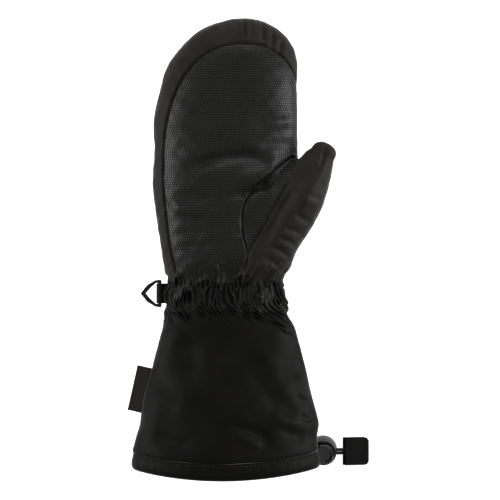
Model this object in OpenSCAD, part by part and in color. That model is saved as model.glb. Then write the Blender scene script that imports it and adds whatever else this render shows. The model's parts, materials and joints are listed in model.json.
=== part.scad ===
// Ski mitten for the right hand, lying on its back with the palm up.
// +Y runs from the cuff to the finger tips, +X points to the thumb side and +Z up from
// the surface it rests on. The origin lies on that surface, below the middle of the palm.
// Millimetres throughout. Every soft layer is one closed solid, nested in the next.

/* [Hand] */
// Width across the palm
palm_w = 107; // [98:1:116]
// Thickness of the filled hand
palm_t = 46; // [42:1:54]
// From the middle of the palm to the finger tip
tip_reach = 112.5; // [104:0.5:122]
// From the middle of the palm down to the wrist seam
wrist_reach = 84; // [80:1:92]
// How far the top of the finger curve lies towards the thumb
tip_shift = 12; // [8:1:16]
// Length of the finger curve on the little-finger side
tip_curve_outer = 79; // [70:1:88]
// Length of the finger curve on the thumb side
tip_curve_inner = 46; // [40:1:52]
// How far the soft back is flattened by what it rests on
rest_sink = 1.5; // [0.8:0.1:2]

/* [Palm patch] */
// Plain band between the outer edge and the palm patch
side_band = 6.5; // [5:0.5:9]
// Plain band over the finger tips
tip_band = 18; // [14:1:22]
// Plain band along the thumb-side edge; below zero the patch wraps round that edge
inner_band = -1.5; // [-2:0.5:4]

/* [Thumb] */
// Length of the thumb from its root inside the hand
thumb_len = 101; // [96:1:108]
// Angle between the thumb and the hand
thumb_angle = 30.5; // [27:0.5:34]
// Largest half-width of the thumb
thumb_r = 21.5; // [20:0.5:23]
// Half-width where the thumb's end starts to round
thumb_tip_r = 11; // [9.5:0.5:12.5]
// Thickness of the thumb as a share of its width
thumb_flat = 0.82; // [0.76:0.01:0.88]
// How far the thumb's tip is lifted above its root
thumb_lift = 9; // [6:1:12]

/* [Wrist] */
// Width of the gathered wrist
wrist_w = 84; // [80:1:90]
// Thickness of the gathered wrist
wrist_t = 40; // [38:1:44]
// Length of the gathered band
gather_len = 22; // [20:1:25]
// Number of gathers round the wrist
gather_count = 30; // [24:1:40]
// Height of a gather above the band
gather_h = 1.5; // [1:0.1:2]
// Width of the elastic in the band
elastic_w = 12; // [10:1:15]

/* [Cuff] */
// Length of the cuff
cuff_len = 125; // [115:1:135]
// Width of the cuff at its top
cuff_top_w = 91; // [88:1:96]
// Width of the cuff at its open end
cuff_w = 143; // [136:1:148]
// Thickness of the open end
cuff_t = 60; // [57:1:64]
// How far the middle of the hem hangs below its corners
hem_bow = 8; // [6:0.5:12]
// Height of the hem
hem_h = 13; // [11:0.5:15]
// Depth of the hem through both of its leaves
hem_t = 5.6; // [5.4:0.1:6.4]

/* [Layers] */
// Shell fabric
shell_t = 1; // [0.8:0.1:1.3]
// Insulation in the hand and the thumb
fill_t = 5; // [4:0.5:6]
// Waterproof insert
insert_t = 0.5; // [0.4:0.1:0.7]
// Fleece lining
lining_t = 1.6; // [1.2:0.1:2]
// Padding in the cuff
cuff_fill_t = 3; // [2:0.5:3.5]
// Gap between neighbouring layers
gap = 0.3; // [0.25:0.05:0.35]

/* [Strap and ring] */
// Width of the ring's webbing strap
strap_w = 15; // [12:1:17]
// Thickness of the webbing
web_t = 1.2; // [1:0.1:1.4]
// How far the strap stands out of the wrist
strap_out = 9; // [8:0.5:11]
// Length of the triangular ring
ring_len = 15.5; // [14:0.5:19]
// Width of the ring's moulded bar
ring_bar = 2.6; // [2.2:0.1:3]

/* [Drawcord] */
// Diameter of the elastic cord
cord_d = 2.5; // [2.2:0.1:2.8]
// Outer diameter of the cord lock
lock_d = 21; // [20:0.5:22]
// Height of the lock's body
lock_h = 12.5; // [12:0.5:13]
// Degrees that the lock leans over, about its cords
lock_lean = 16; // [8:1:20]
// Diameter of the lock's plunger
plunger_d = 15.8; // [15:0.2:16.2]
// How far the plunger stands above the body
plunger_out = 4; // [3.75:0.25:4.5]
// Travel of the plunger
plunger_travel = 2.5; // [2:0.25:2.75]
// Running clearance of the plunger in the body
lock_clear = 0.2; // [0.15:0.05:0.3]
// Length of the pull tab
tab_len = 20; // [17:1:24]
// Width of the pull tab
tab_w = 21; // [18:1:24]
// Free cord between the lock and the tab
tab_gap = 5; // [4.5:0.5:8]

/* [Label] */
// Length of the folded side label along the seam
label_len = 34.5; // [26:1:38]
// How far the label stands out of the seam
label_out = 9.5; // [8:0.5:14]

/* [Hidden] */

SIDES = 24;            // points round a section of the hand, wrist or cuff
THUMB_SIDES = 16;      // points round a section of the thumb
FAR = 400;             // larger than the mitten

// Depths of the layers below the outer surface
fill_d = shell_t + gap;
insert_d = fill_d + fill_t + gap;
lining_d = insert_d + insert_t + gap;
cuff_fill_d = shell_t + gap;
cuff_lining_d = cuff_fill_d + cuff_fill_t + gap;

// Places along the mitten
mid_z = palm_t / 2 - rest_sink;
wrist_y = -wrist_reach;
cuff_y = wrist_y - gather_len;
hem_y = cuff_y - cuff_len;
bow_r = (pow(cuff_w / 2, 2) + pow(hem_bow, 2)) / (2 * hem_bow);

// ---------------------------------------------------------------- sections and lofts

// A flattened oval in the plane y, from x0 to x1, half_h either way of z, and cut flat at the floor
function oval(y, x0, x1, z, half_h, power, floor_z, sides = SIDES) =
    [for (i = [0:sides - 1])
        let (a = 360 * i / sides, c = cos(a), s = sin(a))
        [(x0 + x1) / 2 + (x1 - x0) / 2 * sign(c) * pow(abs(c), 2 / power),
         y,
         max(floor_z, z + half_h * sign(s) * pow(abs(s), 2 / power))]];

// The convex slice between two neighbouring sections
module slice(a, b) {
    n = len(a);
    hull() polyhedron(
        points = concat(a, b),
        faces = concat(
            [[for (i = [0:n - 1]) i], [for (i = [n - 1:-1:0]) n + i]],
            [for (i = [0:n - 1]) [i, n + i, n + (i + 1) % n, (i + 1) % n]]));
}

// A body through a list of sections
module loft(sections) for (i = [0:len(sections) - 2]) slice(sections[i], sections[i + 1]);

// One closed solid through a list of sections that tilt or climb
module tilted_loft(sections) {
    rows = len(sections);
    n = len(sections[0]);
    polyhedron(
        points = [for (s = sections) each s],
        faces = concat(
            [[for (i = [n - 1:-1:0]) i]],
            [for (r = [0:rows - 2], i = [0:n - 1])
                [r * n + i, r * n + (i + 1) % n, (r + 1) * n + (i + 1) % n, (r + 1) * n + i]],
            [[for (i = [0:n - 1]) (rows - 1) * n + i]]),
        convexity = 4);
}

// A closed wall between an outer and an inner list of sections, all with as many points
module sleeve(outer, inner) {
    rows = len(outer);
    n = len(outer[0]);
    shift = rows * n;
    function at(r, i) = r * n + i % n;
    polyhedron(
        points = concat([for (s = outer) each s], [for (s = inner) each s]),
        faces = concat(
            [for (r = [0:rows - 2], i = [0:n - 1])
                [at(r, i), at(r + 1, i), at(r + 1, i + 1), at(r, i + 1)]],
            [for (r = [0:rows - 2], i = [0:n - 1])
                [shift + at(r, i), shift + at(r, i + 1), shift + at(r + 1, i + 1), shift + at(r + 1, i)]],
            [for (i = [0:n - 1]) [at(0, i), at(0, i + 1), shift + at(0, i + 1), shift + at(0, i)]],
            [for (i = [0:n - 1])
                [at(rows - 1, i), shift + at(rows - 1, i),
                    shift + at(rows - 1, i + 1), at(rows - 1, i + 1)]]),
        convexity = 6);
}

// ---------------------------------------------------------------- the hand

HAND_POWER = 2.4;      // how square the hand's sections are
OUTER_POWER = 2.1;     // the finger curve on the little-finger side
INNER_POWER = 2.4;     // the finger curve on the thumb side
NOSE_POWER = 2.6;      // how the thickness closes over the finger tips

// 1 before the curve starts, and down to 0 at its end
function closing(y, start, end, power) =
    pow(1 - pow(min(1, max(0, (y - start) / (end - start))), power), 1 / power);

// The hand's half-width before the finger curve: it draws in towards the wrist
function hand_half(y) =
    let (t = min(1, max(0, (y - wrist_y) / wrist_reach)))
    wrist_w / 2 + (palm_w - wrist_w) / 2 * (1 - pow(1 - t, 2));
function hand_left(y, d) =
    tip_shift - (tip_shift + hand_half(y) - d)
        * closing(y, tip_reach - tip_curve_outer, tip_reach - d, OUTER_POWER);
function hand_right(y, d) =
    tip_shift + (hand_half(y) - d - tip_shift)
        * closing(y, tip_reach - tip_curve_inner, tip_reach - d, INNER_POWER);
function hand_half_t(y, d) =
    let (t = min(1, max(0, (y - wrist_y) / wrist_reach)))
    (wrist_t / 2 + (palm_t - wrist_t) / 2 * (1 - pow(1 - t, 2)) - d)
        * closing(y, tip_reach - tip_curve_outer, tip_reach - d, NOSE_POWER);
function hand_section(y, d) =
    oval(y, hand_left(y, d), hand_right(y, d), mid_z, hand_half_t(y, d), HAND_POWER, d);

PALM_STEPS = 3;
TIP_STEPS = 6;
TIP_LAST = 83;         // degrees along the finger curve where the loft is closed off

// Stations from the wrist to the palm, then closer and closer to the finger tip
function hand_stations(d, past) =
    let (start = tip_reach - tip_curve_outer, reach = tip_reach - d - start)
    concat(past > 0 ? [wrist_y - past] : [],
        [for (i = [0:PALM_STEPS]) wrist_y + (start - wrist_y) * i / PALM_STEPS],
        [for (i = [1:TIP_STEPS]) start + reach * sin(TIP_LAST * i / TIP_STEPS)]);

// The hand at depth d below its outer surface, running on past the wrist by past
module hand_form(d, past = 0) loft([for (y = hand_stations(d, past)) hand_section(y, d)]);

// ---------------------------------------------------------------- the thumb

ROOT_ACROSS = 0.449;   // the thumb's root, as a share of the palm's half-width
ROOT_UP = 0.821;       // the root, as a share of the way from the palm's middle to the wrist
ROOT_RISE = 0.109;     // the root above the middle of the hand, as a share of the thickness
KNUCKLE = 0.545;       // where the thumb starts to narrow, as a share of its length
END_STEPS = 4;

thumb_root = [palm_w / 2 * ROOT_ACROSS, wrist_y * ROOT_UP, mid_z + palm_t * ROOT_RISE];
thumb_end_len = thumb_tip_r;
knuckle = thumb_len * KNUCKLE;
thumb_axis = [sin(thumb_angle), cos(thumb_angle), 0];
thumb_side = [cos(thumb_angle), -sin(thumb_angle), 0];

function thumb_half(s) =
    s < knuckle ? thumb_r
    : let (t = min(1, (s - knuckle) / (thumb_len - thumb_end_len - knuckle)))
      thumb_r + (thumb_tip_r - thumb_r) * pow(t, 1.25);
function thumb_at(s) = thumb_root + thumb_axis * s + [0, 0, thumb_lift * s / thumb_len];
function thumb_section(s, d) =
    let (round_in = closing(s, thumb_len - thumb_end_len, thumb_len - d, 2.3),
        half = (thumb_half(s) - d) * round_in,
        half_t = (thumb_half(s) * thumb_flat - d) * round_in)
    [for (p = oval(0, -half, half, 0, half_t, 2.2, -FAR, THUMB_SIDES))
        thumb_at(s) + thumb_side * p[0] + [0, 0, p[2]]];
function thumb_stations(d) =
    let (start = thumb_len - thumb_end_len)
    concat([d, knuckle / 2, knuckle, (knuckle + start) / 2, start],
        [for (i = [1:END_STEPS]) start + (thumb_end_len - d) * sin(TIP_LAST * i / END_STEPS)]);
module thumb_form(d) tilted_loft([for (s = thumb_stations(d)) thumb_section(s, d)]);

// A point in the thumb's own plan: the shares of its length from the root, and of its radius across
function by_thumb(along, across) =
    let (p = thumb_root + thumb_axis * thumb_len * along + thumb_side * thumb_r * across)
    [p[0], p[1]];

// ---------------------------------------------------------------- panels of the outer shell

// Plan of the palm patch, one step in from the edge all round
function patch_left(y) =
    tip_shift - (tip_shift + hand_half(y) - side_band)
        * closing(y, tip_reach - tip_curve_outer - tip_band, tip_reach - tip_band, OUTER_POWER);
function patch_right(y) =
    tip_shift + (hand_half(y) - inner_band - tip_shift)
        * closing(y, tip_reach - tip_curve_inner - tip_band, tip_reach - tip_band, INNER_POWER);
PATCH_STEPS = 14;
patch_top = tip_reach - tip_band;
patch_rows = [for (i = [0:PATCH_STEPS]) wrist_y - 1 + (patch_top - wrist_y + 1) * sin(90 * i / PATCH_STEPS)];
module patch_plan()
    polygon(concat([for (y = patch_rows) [patch_left(y), y]],
        [for (i = [PATCH_STEPS - 1:-1:0]) [patch_right(patch_rows[i]), patch_rows[i]]]));

// The textured gusset runs from its point at the wrist, round the ball of the thumb, to the crotch
gusset_point = by_thumb(0.02, -0.465);
gusset_crotch = by_thumb(0.752, -0.535);
module gusset_plan()
    polygon([gusset_point, by_thumb(0.14, -1.02), by_thumb(0.257, -1.35), by_thumb(0.356, -1.465),
        by_thumb(0.535, -1.302), by_thumb(0.792, -0.86), gusset_crotch]);

// The plain thumb panel reaches from the wrist seam up and round the thumb
web_end = [palm_w / 2 * 1.01, by_thumb(0.81, -0.7)[1]];
past_tip_y = by_thumb(1.11, 0)[1];
past_wrist_y = wrist_y * 1.06;
beside_x = palm_w * 1.35;
module thumb_plan()
    polygon([[gusset_point[0] * 0.9, past_wrist_y], gusset_point, gusset_crotch,
        web_end, [web_end[0], past_tip_y], [beside_x, past_tip_y], [beside_x, past_wrist_y]]);

PANEL_FLOOR = palm_t * 0.26;    // the thumb panel ends this far above the rest plane
GUSSET_FLOOR = mid_z + palm_t * 0.11;
module upright(low) translate([0, 0, low]) linear_extrude(FAR) children();
module thumb_zone(grow) upright(PANEL_FLOOR - grow) offset(delta = grow) thumb_plan();
module gusset_zone(grow) upright(GUSSET_FLOOR - grow) offset(delta = grow) gusset_plan();
module patch_zone(grow) upright(mid_z - grow) offset(delta = grow) patch_plan();

// The whole outer skin, from which the panels are cut
module skin() difference() {
    union() {
        hand_form(0);
        thumb_form(0);
    }
    hand_form(shell_t, 1);
    thumb_form(shell_t);
}

module back_shell() color("#2b2928") difference() {
    skin();
    patch_zone(gap / 2);
    gusset_zone(gap / 2);
    thumb_zone(gap / 2);
}

module palm_patch() color("#232323") difference() {
    intersection() {
        skin();
        patch_zone(-gap / 2);
    }
    gusset_zone(gap / 2);
    thumb_zone(gap / 2);
}

module thumb_shell() color("#2b2928") difference() {
    intersection() {
        skin();
        thumb_zone(-gap / 2);
    }
    gusset_zone(gap / 2);
}

module thumb_gusset() color("#232323") intersection() {
    skin();
    gusset_zone(-gap / 2);
}

// ---------------------------------------------------------------- inner layers of the hand

// One layer of the hand with the hole for the thumb
module hand_layer(d, t, past = 0) difference() {
    hand_form(d, past);
    hand_form(d + t, past + 1);
    thumb_form(d + t);
}

// The same layer's thumb, sewn to the hand round that hole
module thumb_layer(d, t) difference() {
    thumb_form(d);
    thumb_form(d + t);
    hand_form(d - gap / 2, 1);
}

module hand_insulation() color("#d8d8d4") hand_layer(fill_d, fill_t);
module thumb_insulation() color("#d8d8d4") thumb_layer(fill_d, fill_t);

module waterproof_insert() color("#9fa4a6") difference() {
    union() {
        hand_form(insert_d, gather_len);
        thumb_form(insert_d);
    }
    hand_form(insert_d + insert_t, gather_len + 1);
    thumb_form(insert_d + insert_t);
}

module hand_lining() color("#1f1f20") hand_layer(lining_d, lining_t, gather_len);
module thumb_lining() color("#1f1f20") thumb_layer(lining_d, lining_t);

// ---------------------------------------------------------------- the wrist

// A section of the wrist band at depth d, from 0 at the hand to 1 at the cuff
function wrist_section(t, d) =
    let (half = (wrist_w + (cuff_top_w - wrist_w) * t) / 2 - d)
    oval(wrist_y - gap - (gather_len - gap) * t, -half, half, mid_z, wrist_t / 2 - d, HAND_POWER, d);

BAND_T = 2.6;          // depth of the bunched cloth under the gathers
elastic_d = BAND_T + gap;
ELASTIC_T = 1.6;
elastic_share = elastic_w / gather_len;

function gather_point(angle, t, out) =
    let (half = (wrist_w + (cuff_top_w - wrist_w) * t) / 2 + out,
        c = cos(angle), s = sin(angle))
    [half * sign(c) * pow(abs(c), 2 / HAND_POWER),
     wrist_y - gap - (gather_len - gap) * t,
     mid_z + (wrist_t / 2 + out) * sign(s) * pow(abs(s), 2 / HAND_POWER)];

// One rounded fold of cloth, fading out towards both ends of the band
FOLD_R = 1.9;
FOLD_END_R = 1.2;
module gather(angle) hull() {
    translate(gather_point(angle, 0.12, -FOLD_END_R)) sphere(r = FOLD_END_R, $fn = 5);
    translate(gather_point(angle, 0.5, gather_h - FOLD_R)) sphere(r = FOLD_R, $fn = 5);
    translate(gather_point(angle, 0.88, -FOLD_END_R)) sphere(r = FOLD_END_R, $fn = 5);
}

module wrist_gather() color("#262524") difference() {
    union() {
        slice(wrist_section(0, 0), wrist_section(1, 0));
        for (i = [0:gather_count - 1]) gather(360 * (i + 0.5) / gather_count);
    }
    slice(wrist_section(-0.1, BAND_T), wrist_section(1.1, BAND_T));
    strap_slot();
}

module wrist_elastic() color("#e6e6e2")
    sleeve([for (k = [-1, 1]) wrist_section(0.5 + k * elastic_share / 2, elastic_d)],
        [for (k = [-1, 1]) wrist_section(0.5 + k * elastic_share / 2, elastic_d + ELASTIC_T)]);

// ---------------------------------------------------------------- the cuff

CUFF_POWER = 1.8;      // below 2 the sections come to an edge at the side seams
CUFF_STEPS = 5;
cuff_end_z = cuff_t / 2 - rest_sink;
flare_power = 1.4;

// How far the cuff has opened, from 0 at the wrist to 1 at the hem
function flare(y) = 1 - pow(1 - min(1, max(0, (cuff_y - y) / cuff_len)), flare_power);
function cuff_half(y) = (cuff_top_w + (cuff_w - cuff_top_w) * flare(y)) / 2;
function cuff_half_t(y) = (wrist_t + (cuff_t - wrist_t) * flare(y)) / 2;
function cuff_z(y) = mid_z + (cuff_end_z - mid_z) * flare(y);
function cuff_section(y, d) =
    oval(y, d - cuff_half(y), cuff_half(y) - d, cuff_z(y), cuff_half_t(y) - d, CUFF_POWER, d);

module cuff_form(d, past = 0)
    loft([for (i = [0:CUFF_STEPS])
        cuff_section(cuff_y - gap + past - (cuff_len - gap + 2 * past) * i / CUFF_STEPS, d)]);

// Everything above the bowed line that lies rise above the hem's edge
module above_hem(rise) translate([0, hem_y + bow_r + rise, 0])
    cylinder(r = bow_r, h = 2 * FAR, center = true, $fn = 120);
module cuff_layer(d, t, rise) intersection() {
    difference() {
        cuff_form(d);
        cuff_form(d + t, 1);
    }
    above_hem(rise);
}

seam_z = mid_z + 2;    // height of the cuff's side seams
module half_space(up) translate([0, 0, seam_z + (up ? 1 : -1) * (FAR / 2 + gap / 2)])
    cube([2 * FAR, 2 * FAR, FAR], center = true);

module cuff_palm_panel() color("#292827") difference() {
    intersection() {
        cuff_layer(0, shell_t, hem_h + gap);
        half_space(true);
    }
    label_slot();
}
module cuff_back_panel() color("#292827") difference() {
    intersection() {
        cuff_layer(0, shell_t, hem_h + gap);
        half_space(false);
    }
    label_slot();
}
module cuff_padding() color("#d8d8d4") difference() {
    cuff_layer(cuff_fill_d, cuff_fill_t, hem_h + gap);
    label_slot();
}
module cuff_lining() color("#1f1f20") cuff_layer(cuff_lining_d, shell_t, hem_h + gap);

// The hem is a folded tunnel for the elastic cord, with an outlet on the thumb side
channel_d = shell_t;
channel_t = hem_t - 2 * shell_t;
module hem_band() color("#292827") difference() {
    cuff_layer(0, hem_t, 0);
    above_hem(hem_h);
    difference() {
        cuff_layer(channel_d, channel_t, shell_t);
        above_hem(hem_h - shell_t);
    }
    cord_outlet();
}

// ---------------------------------------------------------------- the cord lock

LOCK_FLOOR = 1.4;
LOCK_EDGE = 1.2;       // rounding of the lock's edges
PASS_CLEAR = 0.35;     // room round the cords in the body's hole
LOCK_ASIDE = 0.8;      // between the lock and the cuff's side
bore_r = plunger_d / 2 + lock_clear;
pass_z = lock_h * 0.62;                        // height of the cords in the lock
spring_room = pass_z - cord_d / 2 - 1.9 - LOCK_FLOOR;
plunger_low = LOCK_FLOOR + spring_room;
plunger_top = lock_h + plunger_out;
cord_side = cord_d / 2 + 0.1;                  // from the lock's middle to either cord
pass_w = 2 * cord_side + cord_d + 2 * PASS_CLEAR;

// The lock lies on its lower rim, which sets the height of the cords
cord_z = pass_z * cos(lock_lean) + (lock_d / 2 - LOCK_EDGE) * sin(lock_lean) + gap;
LOCK_UP = 19;          // from the hem's lowest point up to the lock
cord_y = hem_y + LOCK_UP;

// Where the cuff's side stands at a height z
function side_x(y, z) =
    cuff_half(y) * pow(1 - pow(abs(cuff_z(y) - z) / cuff_half_t(y), CUFF_POWER), 1 / CUFF_POWER);
lock_x = LOCK_ASIDE + max(
    side_x(cord_y, cord_z + (plunger_top - pass_z) * cos(lock_lean)) + plunger_d / 2,
    side_x(cord_y, cord_z + (lock_h - pass_z) * cos(lock_lean)) + lock_d / 2);

module at_lock() translate([lock_x, cord_y, cord_z]) rotate([lock_lean, 0, 0])
    translate([0, 0, -pass_z]) children();

// A round-ended hole along X, wide across Y
module pass(width, low, high, reach) hull()
    for (k = [-1, 1], z = [low + 1.2, high - 1.2])
        translate([0, k * (width / 2 - 1.2), z]) rotate([0, 90, 0])
            cylinder(r = 1.2, h = reach, center = true, $fn = 20);

module cord_lock_body() color("#0d0d0d") at_lock() difference() {
    rotate_extrude($fn = 48) polygon([
        [0, 0], [lock_d / 2 - LOCK_EDGE, 0], [lock_d / 2, LOCK_EDGE],
        [lock_d / 2, lock_h * 0.55], [lock_d / 2 - 0.7, lock_h - 0.6],
        [lock_d / 2 - 1.2, lock_h], [bore_r, lock_h], [bore_r, LOCK_FLOOR], [0, LOCK_FLOOR]]);
    pass(pass_w, pass_z - cord_d / 2 - PASS_CLEAR, pass_z + cord_d / 2 + PASS_CLEAR, 2 * lock_d);
}

DISH_R = plunger_d / 2 - 1.7;
module cord_lock_plunger() color("#0d0d0d") at_lock() difference() {
    rotate_extrude($fn = 48) polygon([
        [0, plunger_low], [plunger_d / 2, plunger_low], [plunger_d / 2, plunger_top - LOCK_EDGE],
        [plunger_d / 2 - 0.35, plunger_top - 0.35], [plunger_d / 2 - LOCK_EDGE, plunger_top],
        [DISH_R, plunger_top - 0.2], [DISH_R - 0.8, plunger_top - 1], [0, plunger_top - 1.2]]);
    pass(pass_w, pass_z - cord_d / 2 - 0.1, pass_z + cord_d / 2 + plunger_travel + 0.2, 2 * lock_d);
}

// A short compression spring under the plunger
SPRING_WIRE = 0.5;
SPRING_TURNS = 3;
SPRING_STEPS = 12;
spring_r = plunger_d / 2 - 2.4;
spring_rise = spring_room - SPRING_WIRE - 0.1;
module cord_lock_spring() color("#b9bcc0") at_lock()
    tube([for (i = [0:SPRING_TURNS * SPRING_STEPS])
        [spring_r * cos(360 * i / SPRING_STEPS), spring_r * sin(360 * i / SPRING_STEPS),
         LOCK_FLOOR + SPRING_WIRE / 2 + 0.05 + spring_rise * i / (SPRING_TURNS * SPRING_STEPS)]],
        SPRING_WIRE / 2, 6, [0, 0, 1]);

// ---------------------------------------------------------------- the cords

OUTLET_R = 2.9;
OUTLET_IN = 3.2;       // how far the outlet reaches in from the cuff's side
function hem_edge_y(x) = hem_y + bow_r - sqrt(pow(bow_r, 2) - pow(x, 2));
outlet_y = hem_edge_y(cuff_w * 0.37) + hem_h / 2;
outlet_x = side_x(outlet_y, cord_z);
module cord_outlet() translate([outlet_x - OUTLET_IN, outlet_y, cord_z]) rotate([0, 90, 0])
    cylinder(r = OUTLET_R, h = lock_d, $fn = 32);

// The elastic ring in the hem, open at the outlet
CORNER = 360 / SIDES;  // degrees from one corner of a cuff section to the next
OUTLET_TURN = 3 * CORNER;                      // the outlet lies near this corner, below the side
OUTLET_SPACE = 6.5;      // degrees left free either side of the outlet
hem_cord_depth = hem_t / 2 + 0.1;
function hem_cord_at(angle) =
    let (c = cos(angle), s = sin(angle),
        y = hem_edge_y(c * cuff_w / 2) + hem_h / 2,
        x = (cuff_half(y) - hem_cord_depth) * sign(c) * pow(abs(c), 2 / CUFF_POWER),
        rise = (cuff_half_t(y) - hem_cord_depth) * sign(s) * pow(abs(s), 2 / CUFF_POWER))
    [x, y, max(cuff_z(y) + rise, hem_cord_depth)];
hem_cord_turns = concat([-OUTLET_TURN - OUTLET_SPACE],
    [for (i = [1:SIDES - 1]) -OUTLET_TURN - i * CORNER],
    [-OUTLET_TURN - 360 + OUTLET_SPACE]);

function unit(v) = v / norm(v);
function heading(route, i) = unit(route[min(i + 1, len(route) - 1)] - route[max(i - 1, 0)]);
// Rings of points of radius r round each point of a route that never runs along aside
function tube_rings(route, r, sides, aside) =
    [for (i = [0:len(route) - 1])
        let (t = heading(route, i), u = unit(cross(t, aside)), v = cross(u, t))
        [for (k = [0:sides - 1])
            route[i] + r * (u * cos(360 * k / sides) + v * sin(360 * k / sides))]];
module tube(route, r, sides = 8, aside = [0, 0, 1]) {
    rings = tube_rings(route, r, sides, aside);
    n = len(rings);
    polyhedron(
        points = [for (g = rings) each g],
        faces = concat(
            [[for (k = [sides - 1:-1:0]) k]],
            [for (i = [0:n - 2], k = [0:sides - 1])
                [i * sides + k, i * sides + (k + 1) % sides,
                 (i + 1) * sides + (k + 1) % sides, (i + 1) * sides + k]],
            [[for (k = [0:sides - 1]) (n - 1) * sides + k]]),
        convexity = 8);
}

module hem_cord() color("#141414")
    tube([for (a = hem_cord_turns) hem_cord_at(a)], cord_d / 2, 6, [0, 1, 0]);

// The two free ends leave the outlet, pass through the lock and end inside the tab.
// The route is given from the middle of the lock, and the ends run either side of it.
CORD_ROUTE = [[-23, -8, 0], [-20.5, -8, -0.5], [-18, -7.2, -1], [-15.5, -4.8, -1], [-13.5, -2, -0.5],
    [-11.5, -0.4, -0.1], [-9, 0, 0], [-4, 0, 0], [0, 0, 0], [5, 0, 0], [11, 0, 0],
    [14, 0, 0], [17, 0, -0.6], [20, 0, -1.6], [23, 0, -2.5], [27, 0, -3.7]];
lean_up = [0, -sin(lock_lean), cos(lock_lean)];
function beside(route, off) =
    [for (i = [0:len(route) - 1]) route[i] + off * unit(cross(lean_up, heading(route, i)))];
module free_cord(side) color("#141414") translate([lock_x, cord_y, cord_z])
    tube(beside(CORD_ROUTE, side * cord_side), cord_d / 2, 8, lean_up);
module drawcord_upper() free_cord(1);
module drawcord_lower() free_cord(-1);

// ---------------------------------------------------------------- the pull tab

TAB_DROOP = 17;        // degrees that the tab hangs down
tab_leaf = 1;          // thickness of one leaf of the folded ribbon
TAB_CLEAR = 0.3;       // between the cords and either leaf
tab_open = cord_d + 2 * TAB_CLEAR + 2 * cord_side * sin(lock_lean);
tab_half = tab_open / 2 + tab_leaf;
tab_mouth = [lock_x + lock_d / 2 + tab_gap, cord_y, cord_z - 0.2];
module tab_plan() hull() {
    translate([0, -tab_w / 2]) square([1, tab_w]);
    for (k = [-1, 1]) translate([tab_len - 2.5, k * (tab_w / 2 - 3)]) circle(r = 2, $fn = 24);
}
// The ribbon is folded over the cord ends, and its fold is the tab's far end
module pull_tab() color("#171717")
    translate(tab_mouth) rotate([0, TAB_DROOP, 0]) intersection() {
        rotate([90, 0, 0]) linear_extrude(FAR, center = true) difference() {
            union() {
                translate([0, -tab_half]) square([tab_len - tab_half, 2 * tab_half]);
                translate([tab_len - tab_half, 0]) circle(r = tab_half, $fn = 48);
            }
            translate([-1, -tab_open / 2]) square([tab_len - tab_half + 1, tab_open]);
            translate([tab_len - tab_half, 0]) circle(r = tab_open / 2, $fn = 32);
        }
        linear_extrude(FAR, center = true) tab_plan();
    }

// ---------------------------------------------------------------- strap, ring and label

strap_flare = (cuff_top_w - wrist_w) / 2 * (strap_w / 2) / gather_len;
STRAP_HELD = BAND_T - strap_flare - 0.1;       // length of strap held in the gathered band
ring_r = ring_bar / 2;
RING_CLEAR = 0.1;
STRAP_DOWN = 0.8;      // from the wrist seam to the strap's edge
strap_y = wrist_y - gap - STRAP_DOWN - strap_w / 2;
strap_t = (wrist_y - gap - strap_y) / (gather_len - gap);
wrist_edge = -(wrist_w + (cuff_top_w - wrist_w) * strap_t) / 2;
bar_x = wrist_edge - strap_out + ring_r + RING_CLEAR + web_t;
loop_r = ring_r + RING_CLEAR + web_t;

module strap_plan() difference() {
    union() {
        circle(r = loop_r, $fn = 48);
        translate([0, -web_t]) square([wrist_edge - bar_x + STRAP_HELD, 2 * web_t]);
    }
    circle(r = ring_r + RING_CLEAR, $fn = 48);
}
module ring_strap() color("#161616") translate([bar_x, strap_y, mid_z])
    rotate([90, 0, 0]) linear_extrude(strap_w, center = true) strap_plan();
module strap_slot() translate([wrist_edge - 4, strap_y - strap_w / 2 - gap, mid_z - web_t - gap])
    cube([4 + BAND_T + gap / 2, strap_w + 2 * gap, 2 * (web_t + gap)]);

// A moulded triangle whose straight side is the round bar in the strap's fold
eye_half = strap_w / 2 + gap;
eye_straight = loop_r + gap;                   // the eye's sides run straight past the strap
arm_r = ring_bar / 2;
module ring_frame() hull() for (k = [-1, 1]) {
    translate([0, k * (eye_half + arm_r)]) circle(r = arm_r, $fn = 32);
    translate([-eye_straight, k * (eye_half + arm_r - 0.4)]) circle(r = arm_r, $fn = 32);
    translate([-ring_len * 0.56, k * eye_half * 0.68]) circle(r = arm_r, $fn = 32);
    translate([-ring_len + ring_bar, 0]) circle(r = arm_r, $fn = 32);
}
module ring_eye() polygon([[ring_bar, eye_half], [ring_bar, -eye_half], [-eye_straight, -eye_half],
    [-ring_len * 0.45, -eye_half * 0.54], [-ring_len + ring_bar * 1.9, 0],
    [-ring_len * 0.45, eye_half * 0.54], [-eye_straight, eye_half]]);
module triangle_ring() color("#121212") translate([bar_x, strap_y, mid_z]) {
    linear_extrude(ring_bar, center = true) difference() {
        ring_frame();
        ring_eye();
    }
    rotate([90, 0, 0]) cylinder(r = ring_r, h = 2 * eye_half + ring_bar, center = true, $fn = 48);
}

// A folded woven label caught in the cuff's seam on the little-finger side
LABEL_T = 0.9;
LABEL_HELD = 3;
LABEL_FROM_CUFF = 42;  // from the top of the cuff to the label's near end
label_near = cuff_y - LABEL_FROM_CUFF;
label_mid = label_near - label_len / 2;
label_turn = atan2(cuff_half(label_near - label_len) - cuff_half(label_near), label_len);
module label_block(grow) translate([-cuff_half(label_mid), label_mid, seam_z]) rotate([0, 0, -label_turn])
    translate([-label_out, -label_len / 2 - grow, -LABEL_T / 2 - grow])
        cube([label_out + LABEL_HELD + grow, label_len + 2 * grow, LABEL_T + 2 * grow]);
module side_label() color("#1d1d1c") label_block(0);
module label_slot() label_block(gap);

// ---------------------------------------------------------------- what is drawn

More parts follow.
